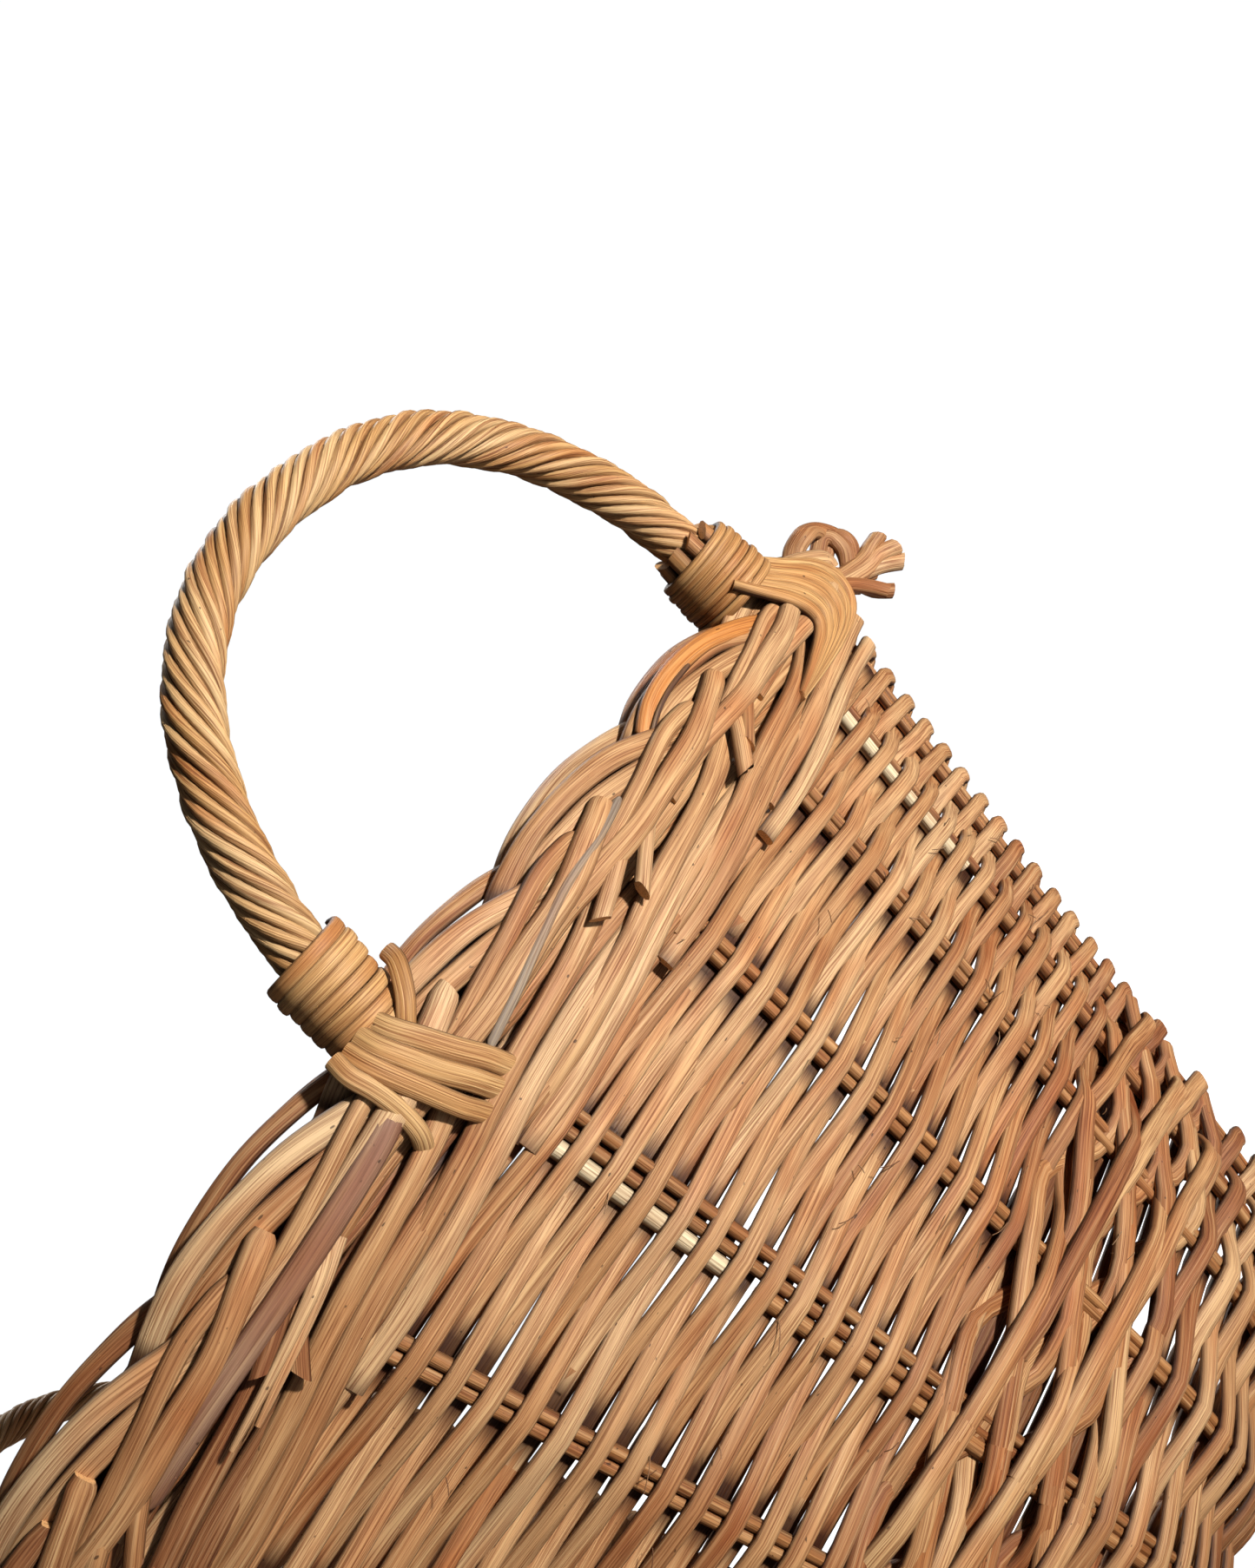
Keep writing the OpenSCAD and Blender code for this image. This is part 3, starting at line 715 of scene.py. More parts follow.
# %% Waling strands
LONG_SLANT = {"over": 2.4, "period": 3, "steep": -9.0, "out": 6.4}
STEEP_STRAND = {"over": 1.35, "period": 2, "steep": 17.0, "out": 3.8}
SLANT_SHIFT, SLANT_STEP, STEEP_SHIFT, STEEP_STEP = 0.3, 1.27, 0.35, 0.5
SLANT_CANE, STEEP_CANE = (7.2, 3.6, (0.25, 0.6)), (6.8, 3.4, (0.4, 0.85))
LINING_CANE, LINING_IN = (10.0, 2.2, (0.7, 0.95)), 4.2
BAND_SHADE_SPAN, BAND_CANE = 5, 4 * STEPS
band = Piece()
strands = []
for k in range(BAND_ROWS):
    slant = band_run(k, SLANT_SHIFT + SLANT_STEP * k, **LONG_SLANT)
    strands.append((slant, *SLANT_CANE))
    for m in range(2):
        crossing = band_run(k, m + STEEP_SHIFT + STEEP_STEP * k, **STEEP_STRAND)
        strands.append((crossing, *STEEP_CANE))
    lining = [(a, depth_at(a, band_depth(k) / SIDE_LENGTH), -LINING_IN) for a, d, o in slant]
    strands.append((lining, *LINING_CANE))
for run, width, thick, tones in strands:
    path = [place(*stop) for stop in run]
    outs = [outward(a, d) for a, d, o in run]
    # The distance out sets the painted shade: the lining behind the ribs is painted darker on its
    # outer face, strands far out on the face against the ribs, and all of them along their edges.
    bare = [o / BAND_SHADE_SPAN for a, d, o in run]
    for first in range(0, len(run) - 1, BAND_CANE):
        last = min(first + BAND_CANE + 1, len(run) - 1)
        part = slice(first, last + 1)
        widths = uneven(last - first + 1, width * chance.uniform(0.9, 1.1))
        band.lay(path[part], outs[part], widths, thick, some_tone(*tones), bare=bare[part])
band.finish("band_waling", [CANE["band"], PITH], "band_cane", ["twined_band"])

# %% [markdown]
# ## Floor knot
# At the front of the floor the ribs come so close that they are bound together: narrow canes run
# round the knot in half rings, over and under the rib ends, on a core of packed rods. A plain
# half-disc would close the floor too, but it would be the one place without strands.

# %% Knot of the ribs
KNOT_RINGS, RING_R, RING_PITCH, RING_STEPS, RING_LIFT = 6, 30.5, 5.0, 36, 1.5
CORE_RODS, CORE_FROM, CORE_SPAN, CORE_STOPS = 9, 8, 164, (3, 12, 22, 32)
RING_SIZE, CORE_SIZE = (4.9, 3.4), (4.4, 3.0)
UP, DOWN = Vector((0, 0, 1)), Vector((0, 0, -1))
knot = Piece()
# The rings and core rods are laid with bare 0, which paints shade along their sides.
for k in range(KNOT_RINGS):
    r = RING_R - RING_PITCH * k
    path = []
    for s in range(RING_STEPS + 1):
        w = math.radians(RIBS[0] + (RIBS[LAST] - RIBS[0]) * s / RING_STEPS)
        lift = RING_LIFT * math.cos(math.pi * (s / 2 + k))
        path.append(Vector((-r * math.cos(w), r * math.sin(w) - MIDDLE_Y, FLOOR_Z + lift)))
    knot.lay(path, [DOWN] * len(path), *RING_SIZE, some_tone(0.5, 0.9), bare=0.0)
hub = Vector((0, -MIDDLE_Y, FLOOR_Z))
for k in range(CORE_RODS):
    w = math.radians(CORE_FROM + CORE_SPAN * k / (CORE_RODS - 1))
    reach = Vector((-math.cos(w), math.sin(w), 0))
    path = [hub + reach * r for r in CORE_STOPS]
    knot.lay(path, [UP] * len(path), *CORE_SIZE, some_tone(), ROUND, bare=0.0)
knot.finish("floor_knot", [CANE["binding"], PITH], "binding_cane", ["rib_knot"])

# %% [markdown]
# ## Plaited border
# The border is the most skilled work on the basket. At every crest a pair of strands starts
# outside, arches low over the rim and goes down inside, behind the pair that follows, and a darker
# strand arches close behind them. Long slants with cut tops cross over the front of each arch and
# run back under the next ones, a few broad canes close the wall below them, and short cut tails
# poke out. A formula for a braid would make it too even, so each strand is given by a few addresses
# on the wall, with a smooth curve through them, and seeded changes from crest to crest.

# %% The path of a border strand
FRONT_PITCH, REAR_PITCH, END_PITCH = 12.0, 11.0, 8.0
CRESTS = ([5.0 + FRONT_PITCH * k for k in range(4)]
          + [52.6 + REAR_PITCH * k for k in range(12)])
PITCHES = [b - a for a, b in zip(CRESTS, CRESTS[1:])] + [END_PITCH]
START_A, END_A = RIBS[0] - 1.2, RIBS[LAST] + 1.5
BARE_FROM, BARE_RISE, RIM_BARE = 2, 7, 0.5


def border_run(crest, p, stops, drop=0.0, slip=0.0):
    """Path, outs and bareness of a strand, its stops in shares of the pitch p from a crest."""
    stops = [(min(max(crest + (s + slip) * p, START_A), END_A), d + drop, o) for s, d, o in stops]
    # Bareness sets the painted shade: the deeper a strand lies under the others, the darker its
    # outer face is painted, and over the rim it takes a middle value.
    bare = [within((o - BARE_FROM) / BARE_RISE) * 2 - 1 if d > 0 else RIM_BARE
            for a, d, o in smooth(stops, RUN_STEPS)]
    return wall_run(stops) + (bare,)


print("crests:", len(CRESTS), "from", CRESTS[0], "to", round(CRESTS[-1], 1), "degrees")

# %% Arches over the rim
ARCHES = [
    (6.8, (0.15, 0.6), [(-0.78, 9, 9), (-0.62, 4.8, 9), (-0.36, -1.2, 8), (-0.1, -3.6, 6.6),
                        (0.15, -3.4, 5), (0.35, -0.8, 3.4), (0.52, 2.8, 1.6), (0.72, 8, -1),
                        (0.95, 14, -4)]),
    (6.8, (0.3, 0.75), [(-0.66, 12.4, 9), (-0.44, 7.4, 9.2), (-0.14, 3.4, 8.4), (0.08, 2.6, 7),
                        (0.24, 3.2, 5.6), (0.42, 6, 4), (0.62, 10.5, 2), (0.85, 16, -1)]),
    (5.8, (0.6, 0.95), [(-0.9, 6, -2), (-0.66, -0.6, -3), (-0.45, -4, -3.8), (-0.2, -6, -4.2),
                        (0.08, -4.8, -4.4), (0.3, -1.3, -4.6), (0.55, 6, -5.4)]),
]
LININGS = [(4.5, 0.0, 8.4, 0.9), (11.5, 1.0, 8.6, 0.8), (18.5, 2.0, 8.0, 0.9)]
LINING_STOPS = 40
arches = Piece()
for crest, p in zip(CRESTS, PITCHES):
    for width, tones, stops in ARCHES:
        path, outs, bare = border_run(crest, p, stops)
        arches.lay(path, outs, uneven(len(path), width * chance.uniform(0.94, 1.08)),
                   chance.uniform(3.0, 3.6), some_tone(*tones), bare=bare)
for d, o, width, tone in LININGS:
    stops = [(RIBS[0] + (END_A - RIBS[0]) * k / LINING_STOPS, d, o)
             for k in range(LINING_STOPS + 1)]
    path, outs = wall_run(stops, 2)
    # The linings are laid with bare -1, so their outer face is painted dark: painted shade behind
    # the arches.
    arches.lay(path, outs, width, 3.0, tone, bare=-1.0)
arches.finish("border_arches", [CANE["border"], PITH], "border_cane", ["plaited_border"])

# %% Slants and long floats below the arches
SLANTS = [
    (7.8, 4.2, (0.2, 0.55), True, [(-0.12, 3.9, 10.8), (0.04, 6.6, 12.4), (0.3, 11, 13),
                                   (0.57, 12.8, 12.8), (0.85, 14.8, 12.2), (1.13, 14.6, 11.4),
                                   (1.4, 14.4, 10), (1.7, 16, 8), (2.0, 18.5, 6)]),
    (5.8, 3.8, (0.3, 0.8), True, [(0.06, 4.4, 9.8), (0.3, 3.6, 11), (0.61, 7.2, 11.8),
                                  (0.87, 10.4, 11.4), (1.1, 12.8, 10.2), (1.4, 15.5, 8.4),
                                  (1.6, 17, 7)]),
    (7.0, 3.6, (0.35, 0.7), False, [(-0.1, 16, 5.5), (0.23, 22, 8.2), (0.49, 25.6, 9.2),
                                    (0.87, 29, 9.4), (1.13, 32, 8.8), (1.33, 35, 7.8),
                                    (1.72, 39.2, 6), (2.05, 42, 3)]),
    (6.6, 3.0, (0.4, 0.8), False, [(-0.7, 33, 1.5), (-0.36, 31, 3.2), (0.09, 28.6, 4.2),
                                   (0.45, 28.1, 4.4), (0.79, 29.1, 4), (1.0, 29.8, 3.4),
                                   (1.35, 31, 1.5)]),
    (6.7, 3.2, (0.35, 0.7), False, [(-0.3, 33.6, 2.5), (0.02, 34.3, 5), (0.43, 34.8, 6.2),
                                    (0.85, 36.9, 6.8), (1.19, 40.4, 6.8), (1.51, 44.2, 6),
                                    (1.85, 47.2, 4.6), (2.2, 48.6, 2.4)]),
    (6.4, 3.0, (0.45, 0.85), False, [(-0.6, 25, 2), (-0.3, 23.2, 3.8), (0.1, 21, 5),
                                     (0.45, 20.4, 5.4), (0.8, 21.2, 5), (1.15, 23, 3.8),
                                     (1.4, 25, 2)]),
    (6.4, 2.8, (0.45, 0.8), False, [(-0.5, 43, 2), (-0.1, 41.4, 3.8), (0.4, 40.6, 4.4),
                                    (0.8, 41.4, 4), (1.2, 43, 2)]),
]
REDDER, REDDER_FROM, LEAST_STOPS = 0.18, 45, 4
CUT_TOP = (0.7, 0.88)
slants = Piece()
for crest, p in [(CRESTS[0] - FRONT_PITCH, FRONT_PITCH)] + list(zip(CRESTS, PITCHES)):
    redder = REDDER if crest > REDDER_FROM else 0.0
    for width, thick, tones, cut, stops in SLANTS:
        inside = [stop for stop in stops if RIBS[0] - 1 < crest + stop[0] * p < END_A]
        if len(inside) < LEAST_STOPS:
            continue
        drop, slip = chance.uniform(-0.9, 0.9), chance.uniform(-0.06, 0.06)
        path, outs, bare = border_run(crest, p, inside, drop, slip)
        widths = uneven(len(path), width * chance.uniform(0.9, 1.08), 0.06)
        if cut:
            widths[:2] = [w * share for w, share in zip(widths, CUT_TOP)]
        slants.lay(path, outs, widths, thick * chance.uniform(0.9, 1.1),
                   some_tone(tones[0] + redder, tones[1] + redder),
                   cuts=(chance.uniform(-1.2, 1.2) if cut else 0, 0),
                   leans=chance.uniform(-0.12, 0.2), bare=bare)
slants.finish("border_slants", [CANE["border"], PITH], "border_cane")

# %% Cut tails
TAILS = [(5.4, [(-0.15, 11, 9), (0.08, 16, 12), (0.3, 20.5, 13.6)]),
         (4.6, [(-0.3, 13, 9), (-0.12, 18.2, 11.6), (0.06, 24.5, 13)]),
         (5.4, [(-0.1, 14, 8.6), (0.04, 20.9, 11.6), (0.2, 29.4, 12.8)])]
TAIL_LACK, TAIL_ROOM, TAILS_FROM, TAIL_THICK = 0.3, 0.45, 10, 4.2
LASHED_CRESTS = CRESTS[3], CRESTS[11]
tails = Piece()
for crest, p in zip(CRESTS, PITCHES):
    for width, stops in TAILS:
        lacking = chance.random() < TAIL_LACK
        if lacking or crest + TAIL_ROOM * p > END_A or crest < TAILS_FROM or crest in LASHED_CRESTS:
            continue
        drop, slip = chance.uniform(-1.5, 2.5), chance.uniform(-0.05, 0.05)
        path, outs, bare = border_run(crest, p, stops, drop, slip)
        tails.lay(path, outs, width * chance.uniform(0.9, 1.1), TAIL_THICK, some_tone(0.35, 0.95),
                  ROUND, (0, chance.choice((-1, 1)) * chance.uniform(1.4, 2.8)), bare=bare)
tails.finish("border_tails", [CANE["border"], PITH], "border_cane")

# %% [markdown]
# ## Strands with bark
# A few strands kept their bark: an orange arch with a dark seam near the front, a grey streak along
# one slant, and a smooth purple-brown slant at the rear beside two pale splinters. They could be
# painted on by a mask, but that needs a map of the whole border. Strands of their own, laid over
# those that they belong to, need only a few addresses read off the photograph.

# %% Barked strands
BARKED = [
    (6.4, 2.8, 0.08, ((7.4, 7.0, 9.4), (9.3, 2.6, 9.2), (11.9, -1.8, 8.8), (14.4, -4.6, 8),
                      (17.5, -5.0, 7.6), (20, -2.7, 7.2), (22, 2.4, 6.6))),
    (1.6, 1.4, 1.0, ((22.2, 3.8, 8.6), (20.4, -0.4, 9.4), (18.4, -2.6, 9.8), (16.2, -3.2, 10))),
    (2.8, 2.2, 0.75, ((26.6, 6.6, 11.5), (29.1, 8.4, 13.6), (32.4, 9.8, 14.4),
                      (35.3, 13.3, 14.4), (37.9, 16.9, 14.2), (40.6, 20.4, 13))),
    (7.0, 3.6, 0.5, ((42.4, 3.4, 9.6), (44.3, 9, 12.6), (46.0, 12.4, 13.8), (50.0, 14.8, 14.4),
                     (54.5, 16.4, 13.6), (58.8, 17.8, 11.4), (62.4, 20, 8))),
]
BARK_END = 0.55
barked = Piece()
for width, thick, tone, stops in BARKED:
    path, outs = wall_run(stops)
    widths = [width] * len(path)
    widths[0] = widths[-1] = width * BARK_END
    barked.lay(path, outs, widths, thick, tone)
barked.finish("barked_strands", [CANE["bark"], PITH], "border_cane")

# %% Splinters
SPLINTERS = [((50.4, 17.0, 11), (52.0, 20.7, 14), (55.2, 24.4, 15), (58.6, 27.2, 15.2)),
             ((50.2, 19.0, 11), (52.2, 22.6, 13.6), (54.8, 26.0, 14.8), (57.4, 28.8, 15.4))]
SPLINTER_WIDTH, SPLINTER_LOSS, SPLINTER_THICK = 5.2, 3.8, 2.2
splinters = Piece()
for stops in SPLINTERS:
    path, outs = wall_run(stops)
    widths = [SPLINTER_WIDTH - SPLINTER_LOSS * i / len(path) for i in range(len(path))]
    splinters.lay(path, outs, widths, SPLINTER_THICK, chance.uniform(0.05, 0.3))
splinters.finish("border_splinters", [CANE["border"], PITH], "border_cane")

# %% [markdown]
# ## Corner knots
# At each end of the open front the border stops: three of its last strands loop over ahead of the
# edge rib and tuck in, and the others are cut short in a cluster of stubs. They leave the wall, so
# addresses don't suit them, and they are given by distances outwards, ahead and up from the rim's
# front corner. A Mirror modifier could make the right corner, but each corner is a piece with its
# own tones, so its points are mirrored instead.

# %% Left and right
SIDES = {"left": 1, "right": -1}


def on_side(points, way):
    """The points as they are for the left side, and mirrored for the right."""
    return [Vector((way * p.x, p.y, p.z)) for p in points]


def rim_point(a, o, h):
    """A point at angle a, o outwards and h up from the rim."""
    w = math.radians(a)
    r = rim_r(a) + o
    return Vector((-r * math.cos(w), r * math.sin(w) - MIDDLE_Y, FLOOR_Z + RIM_HEIGHT + h))


def from_corner(o, ahead, h):
    """A point o outwards, ahead and h up from the rim's front corner."""
    return rim_point(RIBS[0], o, h) + Vector((0, -ahead, 0))


print("sides:", ", ".join(SIDES))

# %% Corner stubs and loops
STUBS = [(5.6, ((-3, -6, -10), (4, 18, -16.5), (8, 26, -16.5), (11, 30, -16.5))),
         (6.4, ((-3, -6, -12), (3, 18, -19), (7, 26, -20), (10, 32, -23))),
         (6.0, ((-3, -8, -10), (2, 18, -19), (5, 26, -23), (7, 33, -28))),
         (5.4, ((-2, -6, -14), (0, 13, -19), (0, 18, -26), (1, 23, -31))),
         (4.6, ((-3, -6, -10), (0, 14, -15), (1, 20, -20), (2, 24, -22.5))),
         (5.2, ((2, -8, -14), (3, 4, -18), (3, 12, -24), (3, 17, -30)))]
LOOPS = [(7.4, ((-1, -6, -5), (1, -1, -1), (4, 3, 2), (8, 8, 2.5), (7, 15, 2), (6, 20, 0),
                (5, 24, -5), (3, 24, -11), (0, 20, -16), (-2, 12, -20))),
         (6.4, ((-3, 10, -8), (0, 17, -6), (4, 22, -4), (6, 24.5, -6.5), (5, 24, -11),
                (2, 18, -16), (0, 11, -20))),
         (5.8, ((-2, 6, -7), (2, 13, -4), (5, 18, -2), (6, 21, -5), (5, 20, -11), (2, 15, -16)))]
STUB_FACE, LOOP_FACE = Vector((-0.8, 0.3, 0.5)), Vector((-0.8, 0.5, 0.3))
LOOP_THICK = 4.0
for side, way in SIDES.items():
    corner = Piece()
    strands = []
    for size, stops in STUBS:
        cuts = (0, chance.uniform(-2, 2))
        strands.append((smooth(stops, 4), STUB_FACE, size, size, ROUND, cuts))
    for width, stops in LOOPS:
        strands.append((smooth(stops, 5), LOOP_FACE, width, LOOP_THICK, DOMED, (0, 0)))
    # The corner canes take the darker half of the tones: partly their own darker colour, partly
    # painted shade for the shadow that the corner lies in.
    for stops, out, width, thick, shape, cuts in strands:
        path = on_side([from_corner(*stop) for stop in stops], way)
        outs = on_side([out] * len(path), way)
        corner.lay(path, outs, width, thick, some_tone(0.55, 0.95), shape, cuts, bare=None)
    corner.finish("corner_knot_" + side, [CANE["border"], PITH], "border_cane", ["corner_" + side])

# %% [markdown]
# ## Handles
# Each handle is a left-handed rope of eleven canes on an arch between two points of the rim. The
# arch leans outwards. Each cane's place on the rope turns as it goes, one full turn every 66 mm,
# and the rope is drawn in where the windings hold it. The right rope is twisted the other way and
# then mirrored, so both are left-handed. A bar with twisted grooves would do from afar, but close
# up the canes swell, sink and differ in tone, so each is laid by itself.

# %% The arch
REAR_FOOT, FRONT_FOOT, HANDLE_RISE, ARCH_POWER = 43.0, 6.0, 115.0, 0.88
LEAN = math.radians(18)
rear_point, front_point = rim_point(REAR_FOOT, 0, 0), rim_point(FRONT_FOOT, 0, 0)
chord = front_point - rear_point
along = chord.normalized()
sideways = UP.cross(-along).normalized()
rise = UP * math.cos(LEAN) + sideways * math.sin(LEAN)
face = sideways * math.cos(LEAN) - UP * math.sin(LEAN)


def arch(q):
    """The handle's middle line at q degrees from the rear foot."""
    c, s = math.cos(math.radians(q)), math.sin(math.radians(q))
    across = math.copysign(abs(c) ** ARCH_POWER, c) * chord.length / 2
    height = abs(s) ** ARCH_POWER * HANDLE_RISE
    return (rear_point + front_point) / 2 - along * across + rise * height


def foot_turn(h):
    """Angle of the arch at which it is h above the rim line, along its own plane."""
    return math.degrees(math.asin((h / HANDLE_RISE) ** (1 / ARCH_POWER)))


print("between the feet:", round(chord.length, 1), "mm")

# %% Twisted canes
FULL_TURN = 2 * math.pi
CANES, TWIST, RINGS, ROPE_R = 11, 66.0, 120, 5.6
FOOT_RISE, HELD, HELD_GAIN, HELD_RINGS = 3.0, 0.82, 0.18, 12
SWELL, SWELL_LENGTH = 0.35, 11
low_turn = foot_turn(FOOT_RISE)
line = [arch(low_turn + (180 - 2 * low_turn) * k / RINGS) for k in range(RINGS + 1)]
for side, way in SIDES.items():
    handle = Piece()
    for k in range(CANES):
        path, outs, run = [], [], 0.0
        swell = chance.uniform(0, ANY_PHASE)
        for i, p in enumerate(line):
            run += (p - line[max(i - 1, 0)]).length
            t = (line[min(i + 1, RINGS)] - line[max(i - 1, 0)]).normalized()
            w = FULL_TURN * (k / CANES + way * run / TWIST)
            ray = t.cross(face).normalized() * math.cos(w) + face * math.sin(w)
            held = min(1.0, HELD + HELD_GAIN * min(i, RINGS - i) / HELD_RINGS)
            path.append(p + ray * held * (ROPE_R + SWELL * math.sin(run / SWELL_LENGTH + swell)))
            outs.append(ray)
        handle.lay(on_side(path, way), on_side(outs, way),
                   uneven(len(path), chance.uniform(3.2, 3.8)), chance.uniform(4.4, 5.0),
                   chance.uniform(0.2, 0.6), ROUND)
    handle.finish("handle_%s_canes" % side, [CANE["handle"], PITH], "handle_cane",
                  ["handle_" + side])

# %% [markdown]
# ## Windings and lashings
# One flat cane is wound seven times round each foot. The rear winding widens a little towards its
# top and the front one towards the rim, and cut packing rods look out of the front one's top. From
# the lower end strands run side by side over the border and tuck into the weave. At the front foot
# they fan out and curl back under the corner. A stack of rings would look alike from afar, but a
# helix climbs and shows its two ends, as the real cane does.

# %% The foot of a handle
FOOT_HEIGHT, FOOT_SINK = {"rear": 0.6, "front": 4.0}, {"rear": 2, "front": 0}
FOOT_STEP = 10


def foot_frame(foot):
    """Base, axis and two cross directions of a handle's foot."""
    low = foot_turn(FOOT_HEIGHT[foot])
    q = 180 - low if foot == "front" else low
    base = arch(q)
    axis = (arch(q - FOOT_STEP if foot == "front" else q + FOOT_STEP) - base).normalized()
    base -= axis * FOOT_SINK[foot]
    n = axis.cross(face).normalized()
    return base, axis, n, axis.cross(n)


print("rear foot:", tuple(round(c, 1) for c in foot_frame("rear")[0]), "mm")

# %% Windings round the feet
WIND_TURNS, WIND_STEPS, WIND_THICK = 7, 24, 2.6
WIND = {"rear": (28.0, 10.4, 11.4, 4.3), "front": (20.0, 14.6, 12.8, 3.2)}
WOBBLES, CLIMB_WOBBLE, CLIMB_BEAT = [(0.3, 0.37, 1.3), (0.2, 1.9, 0.0)], 0.35, 0.9
PACKING, PACKING_THICK = 9, 4.0


def helix(base, axis, n, b, length, low_r, top_r):
    """Path and directions of a winding whose radius goes from low_r to top_r."""
    path, outs = [], []
    for k in range(WIND_TURNS * WIND_STEPS + 1):
        w = FULL_TURN * k / WIND_STEPS
        share = k / (WIND_TURNS * WIND_STEPS)
        wobble = sum(size * math.sin(w * beat + phase) for size, beat, phase in WOBBLES)
        ray = n * math.cos(w) + b * math.sin(w)
        height = length * share + CLIMB_WOBBLE * math.sin(w * CLIMB_BEAT)
        path.append(base + axis * height + ray * (low_r + (top_r - low_r) * share + wobble))
        outs.append(ray)
    return path, outs


for side, way in SIDES.items():
    for foot, (length, low_r, top_r, width) in WIND.items():
        base, axis, n, b = foot_frame(foot)
        winding = Piece()
        path, outs = helix(base, axis, n, b, length, low_r, top_r)
        winding.lay(on_side(path, way), on_side(outs, way), uneven(len(path), width), WIND_THICK,
                    some_tone(0.3, 0.6))
        for k in range(PACKING if foot == "front" else 0):
            w = FULL_TURN * k / PACKING
            ray = n * math.cos(w) + b * math.sin(w)
            tip = length + chance.uniform(1, 8)
            path = [base + axis * height + ray * r
                    for height, r in ((2, 11), (length * 0.6, 10.4), (tip, 9.4))]
            winding.lay(on_side(path, way), on_side([ray] * len(path), way),
                        chance.uniform(4.5, 6.5), PACKING_THICK, some_tone(0.3, 0.8), ROUND,
                        (0, chance.uniform(-2, 2)))
        winding.finish("winding_%s_%s_cane" % (side, foot), [CANE["binding"], PITH], "binding_cane",
                       ["winding_%s_%s" % (side, foot)])

# %% Stops of the lashings
REAR_LASHING = [
    (6.2, ((42.6, -6, 9), (42.4, -2, 13), (42.0, 4, 15.2), (41.5, 13, 15.2), (41.0, 21, 13.4),
           (40.8, 26, 11), (40.6, 31, 8))),
    (6.2, ((43.4, -6, 9), (43.3, -2, 13), (43.0, 4, 15.2), (42.6, 13, 15.2), (42.1, 22, 13.4),
           (41.9, 27, 11), (41.7, 32, 8))),
    (6.2, ((44.2, -6, 9), (44.1, -2, 13), (43.9, 4, 15.2), (43.6, 13, 15.2), (43.3, 23, 13.4),
           (43.1, 28, 11), (42.9, 33, 8))),
    (5.4, ((44.7, -7, 9), (44.8, -3, 13), (44.7, 4, 14.4), (44.8, 12, 14), (45.1, 19, 12.6),
           (45.6, 24, 9), (46.0, 26, 6))),
    (5.0, ((39.8, -12, 3), (40.0, -9.5, 8), (40.9, -4, 11.5), (41.9, 1, 11.5), (42.4, 5, 9))),
]
FRONT_INNER = [(8.6, -10, 10), (8.0, -4.3, 13), (6.3, 4.9, 15), (5.3, 12.7, 15), (5.7, 18.4, 14.4),
               (7.9, 22.8, 13.4), (10.2, 27.4, 11)]
FRONT_OUTER = [(4.4, -11, 9), (2.8, -4.7, 11.4), (-0.4, 4.0, 12.4), (-1.6, 13.0, 12.4),
               (-0.4, 21.6, 12.6), (4.0, 26.6, 12.4), (10.4, 29.4, 10)]
FRONT_STRANDS, FRONT_WIDTHS = 6, [(3.2,), (3.8,), (5.0,), (5.4,), (4.6,), (3.2,), (1.6,)]


def rear_runs():
    """The rear lashing's strands, each with its own width."""
    return [wall_run(stops, 5) + (width * chance.uniform(0.95, 1.08),)
            for width, stops in REAR_LASHING]


def front_runs():
    """The front lashing's strands, spread between its inner and its outer one."""
    widths = [w for (w,) in smooth(FRONT_WIDTHS, RUN_STEPS)]
    runs = []
    for k in range(FRONT_STRANDS):
        s = (k + 0.5) / FRONT_STRANDS
        stops = [tuple(p + (q - p) * s for p, q in zip(*pair))
                 for pair in zip(FRONT_INNER, FRONT_OUTER)]
        runs.append(wall_run(stops) + (widths,))
    return runs


print("strands of a rear and a front lashing:", len(REAR_LASHING), FRONT_STRANDS)

# %% Lashings over the border
LASHING_THICK = 3.2
for side, way in SIDES.items():
    for foot, make_runs in (("rear", rear_runs), ("front", front_runs)):
        lashing = Piece()
        for path, outs, width in make_runs():
            lashing.lay(on_side(path, way), on_side(outs, way), width, LASHING_THICK,
                        some_tone(0.2, 0.5))
        lashing.finish("lashing_%s_%s_canes" % (side, foot), [CANE["binding"], PITH],
                       "binding_cane", ["lashing_%s_%s" % (side, foot)])

# %% [markdown]
# ## Loose fibres
# Old cane sheds fine hairs where it was split. They are thin three-sided threads that start in a
# strand and curl away from it. A hair system would make more of them, but it is no mesh, and the
# part is built of meshes.

# %% Hairs on the weave
HAIRS, HAIR_THICK, HAIR_TONES = 170, 0.34, (0.05, 0.2, 0.9)
HAIR_ANGLES, HAIR_DEPTHS, HAIR_STARTS = (0, 179), (14, 235), (3.4, 4.6)
HAIR_TURNS, HAIR_LIFTS, HAIR_ENDS = (-1.6, 1.6), (-3, 4), (0.6, 2.6)
fibres = Piece()
for k in range(HAIRS):
    a, d, o = (chance.uniform(*ends) for ends in (HAIR_ANGLES, HAIR_DEPTHS, HAIR_STARTS))
    turn, lift, end = (chance.uniform(*ends) for ends in (HAIR_TURNS, HAIR_LIFTS, HAIR_ENDS))
    stops = [(a, d, o), (a + turn * 0.4, d + lift * 0.5, o + 1.2), (a + turn, d + lift, o + end)]
    path, outs = wall_run(stops, 4)
    fibres.lay(path, outs, HAIR_THICK, HAIR_THICK, chance.choice(HAIR_TONES), HAIR)
fibres.finish("loose_fibres", [CANE["weaver"], PITH], "weaver_cane")

# %% [markdown]
# ## Floor, light and camera
# The photograph was taken from outside the left wall, a little under the rim, with the camera
# turned on its side. A small lamp low behind the camera gives the strands their hard shadows, a
# weak sun lights the inside through the open front, and the white surround fills the rest. One
# large soft lamp would be easier to place, but it would flatten the weave.

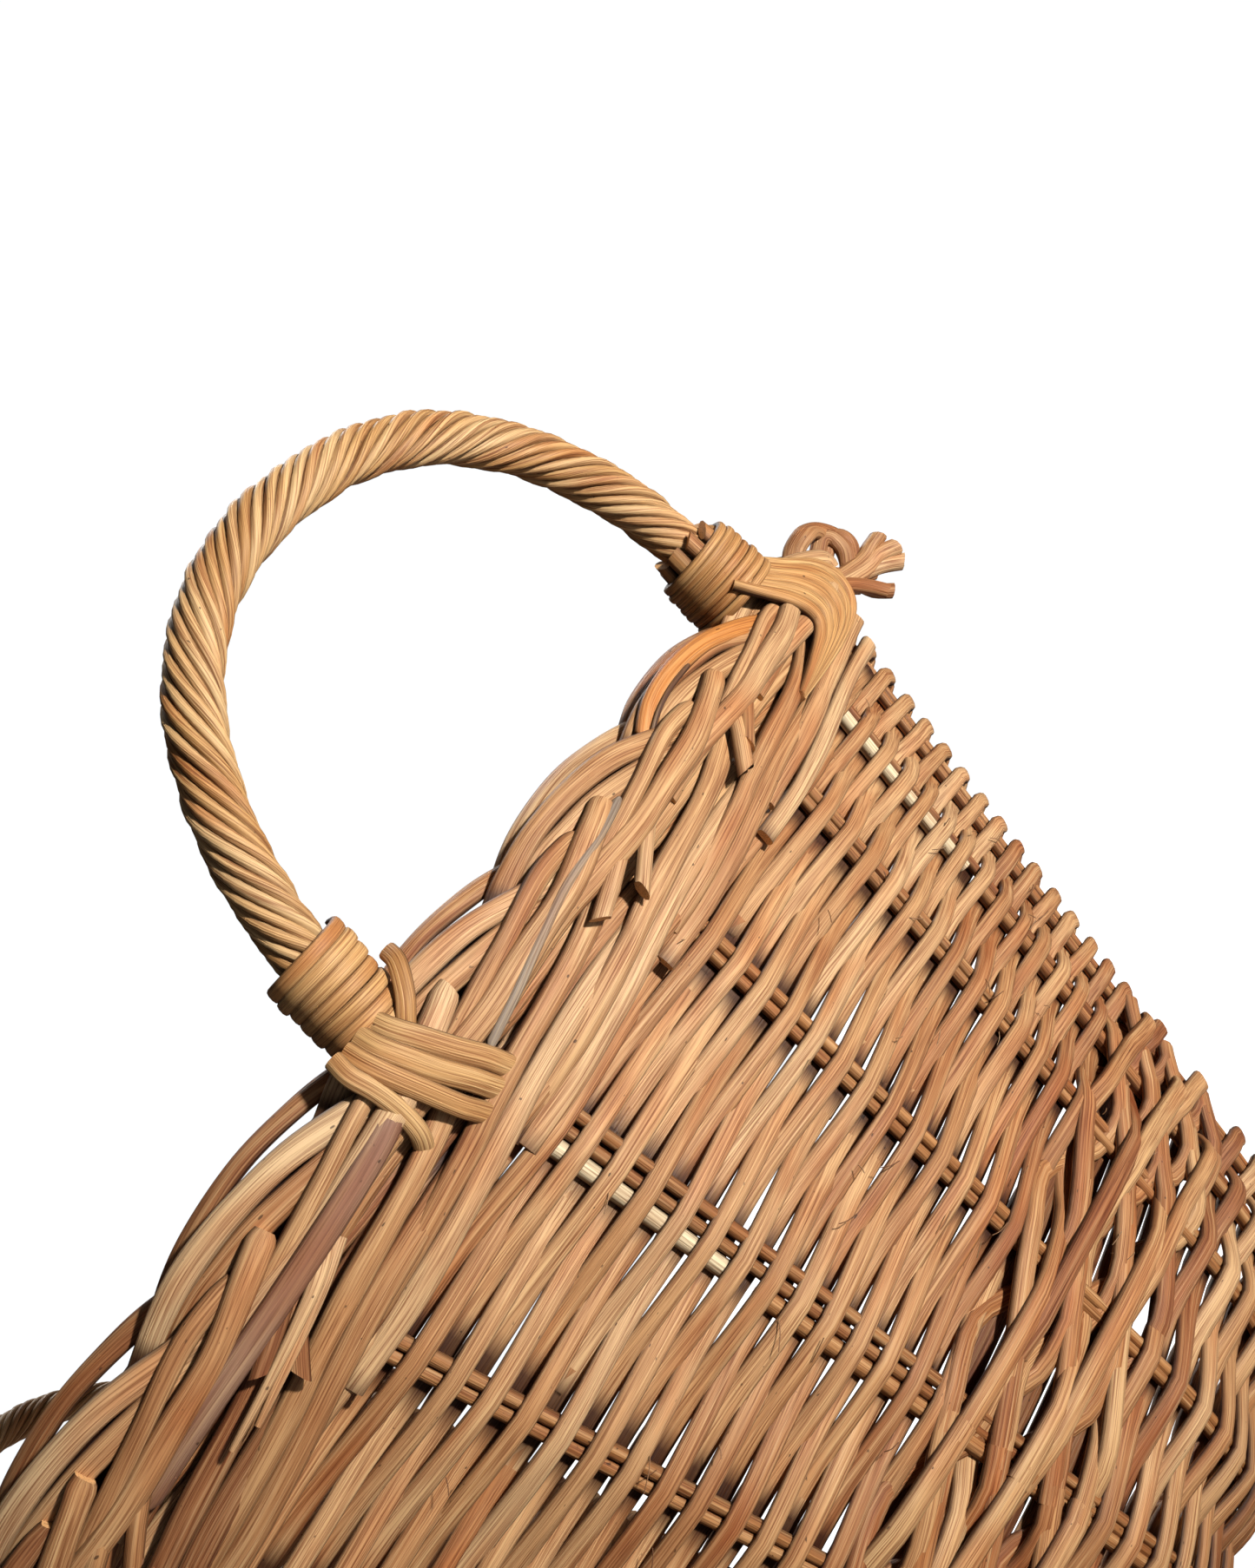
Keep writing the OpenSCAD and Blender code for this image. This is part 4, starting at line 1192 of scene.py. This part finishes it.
# %% Pale floor
FLOOR_HALF, FLOOR_GAP = 4.0, 0.002
ground = bmesh.new()
bmesh.ops.create_grid(ground, x_segments=1, y_segments=1, size=FLOOR_HALF)
ground_mesh = bpy.data.meshes.new("pale_floor")
ground.to_mesh(ground_mesh)
ground.free()
floor = bpy.data.objects.new("pale_floor", ground_mesh)
floor.location.z = -FLOOR_GAP
pale = bpy.data.materials.new("pale_floor")
pale.use_nodes = True
pale_shader = pale.node_tree.nodes["Principled BSDF"]
pale_shader.inputs["Base Color"].default_value = srgb("BCBCBE")
pale_shader.inputs["Roughness"].default_value = 0.9
pale_shader.inputs["Emission Color"].default_value = (1, 1, 1, 1)
seen = pale.node_tree.nodes.new("ShaderNodeLightPath")
pale.node_tree.links.new(seen.outputs["Is Camera Ray"], pale_shader.inputs["Emission Strength"])
ground_mesh.materials.append(pale)
bpy.context.scene.collection.objects.link(floor)
print("floor:", 2 * FLOOR_HALF, "m wide")

# %% Camera at the photograph's place
EYE, AIM = Vector((-563.2, 321.6, 245.3)), Vector((-346.4, 47.0, 289.0))
ROLL, FOCAL_PX, PHOTO_HEIGHT_PX = math.radians(-55.26), 2025.3, 1806
look = (AIM - EYE).normalized()
right = look.cross(UP).normalized()
above = right.cross(look)
view_x = right * math.cos(ROLL) + above * math.sin(ROLL)
view_y = above * math.cos(ROLL) - right * math.sin(ROLL)
camera_data = bpy.data.cameras.new("camera")
camera_data.sensor_width = 36.0
camera_data.lens = FOCAL_PX / PHOTO_HEIGHT_PX * camera_data.sensor_width
camera_data.clip_start = 0.01
camera = bpy.data.objects.new("camera", camera_data)
turn = Matrix((view_x, view_y, -look)).transposed().to_4x4()
camera.matrix_world = Matrix.Translation(EYE * MM) @ turn
bpy.context.scene.collection.objects.link(camera)
bpy.context.scene.camera = camera
print("lens:", round(camera_data.lens, 1), "mm")

# %% Lamp, sun and surround
KEY_SIZE, KEY_POWER, KEY_TINT = 0.11, 31.0, (1.0, 0.97, 0.92)
KEY_FROM, KEY_AIM = (-1.5, 0.05, 0.03), (-0.3, 0.03, 0.25)
SUN_POWER, SUN_ANGLE, SUN_FROM = 1.6, math.radians(20), (0.5, -1.5, 1.7)
SURROUND_TINT, SURROUND_FILL, SURROUND_SEEN = (0.97, 0.985, 1.0, 1), 0.035, 1.04


def aim_lamp(name, data, at, target):
    """A lamp at one place that shines towards another."""
    lamp = bpy.data.objects.new(name, data)
    lamp.location = at
    lamp.rotation_mode = "QUATERNION"
    lamp.rotation_quaternion = (Vector(at) - Vector(target)).to_track_quat("Z", "Y")
    bpy.context.scene.collection.objects.link(lamp)
    return lamp


key_data = bpy.data.lights.new("key_lamp", "AREA")
key_data.shape, key_data.size, key_data.energy = "DISK", KEY_SIZE, KEY_POWER
key_data.color = KEY_TINT
aim_lamp("key_lamp", key_data, KEY_FROM, KEY_AIM).visible_camera = False
sun_data = bpy.data.lights.new("sun", "SUN")
sun_data.energy, sun_data.angle = SUN_POWER, SUN_ANGLE
aim_lamp("sun", sun_data, SUN_FROM, (0, 0, 0))
world = bpy.data.worlds.new("surround")
world.use_nodes = True
sky = world.node_tree
lit = sky.nodes["Background"]
lit.inputs["Color"].default_value = SURROUND_TINT
ray = sky.nodes.new("ShaderNodeLightPath")
level = sky.nodes.new("ShaderNodeMapRange")
level.inputs["To Min"].default_value = SURROUND_FILL
level.inputs["To Max"].default_value = SURROUND_SEEN
sky.links.new(ray.outputs["Is Camera Ray"], level.inputs["Value"])
sky.links.new(level.outputs["Result"], lit.inputs["Strength"])
bpy.context.scene.world = world
bpy.context.scene.view_settings.view_transform = "Standard"
print("lamps:", key_data.energy, "W and a sun of", round(sun_data.energy, 1))
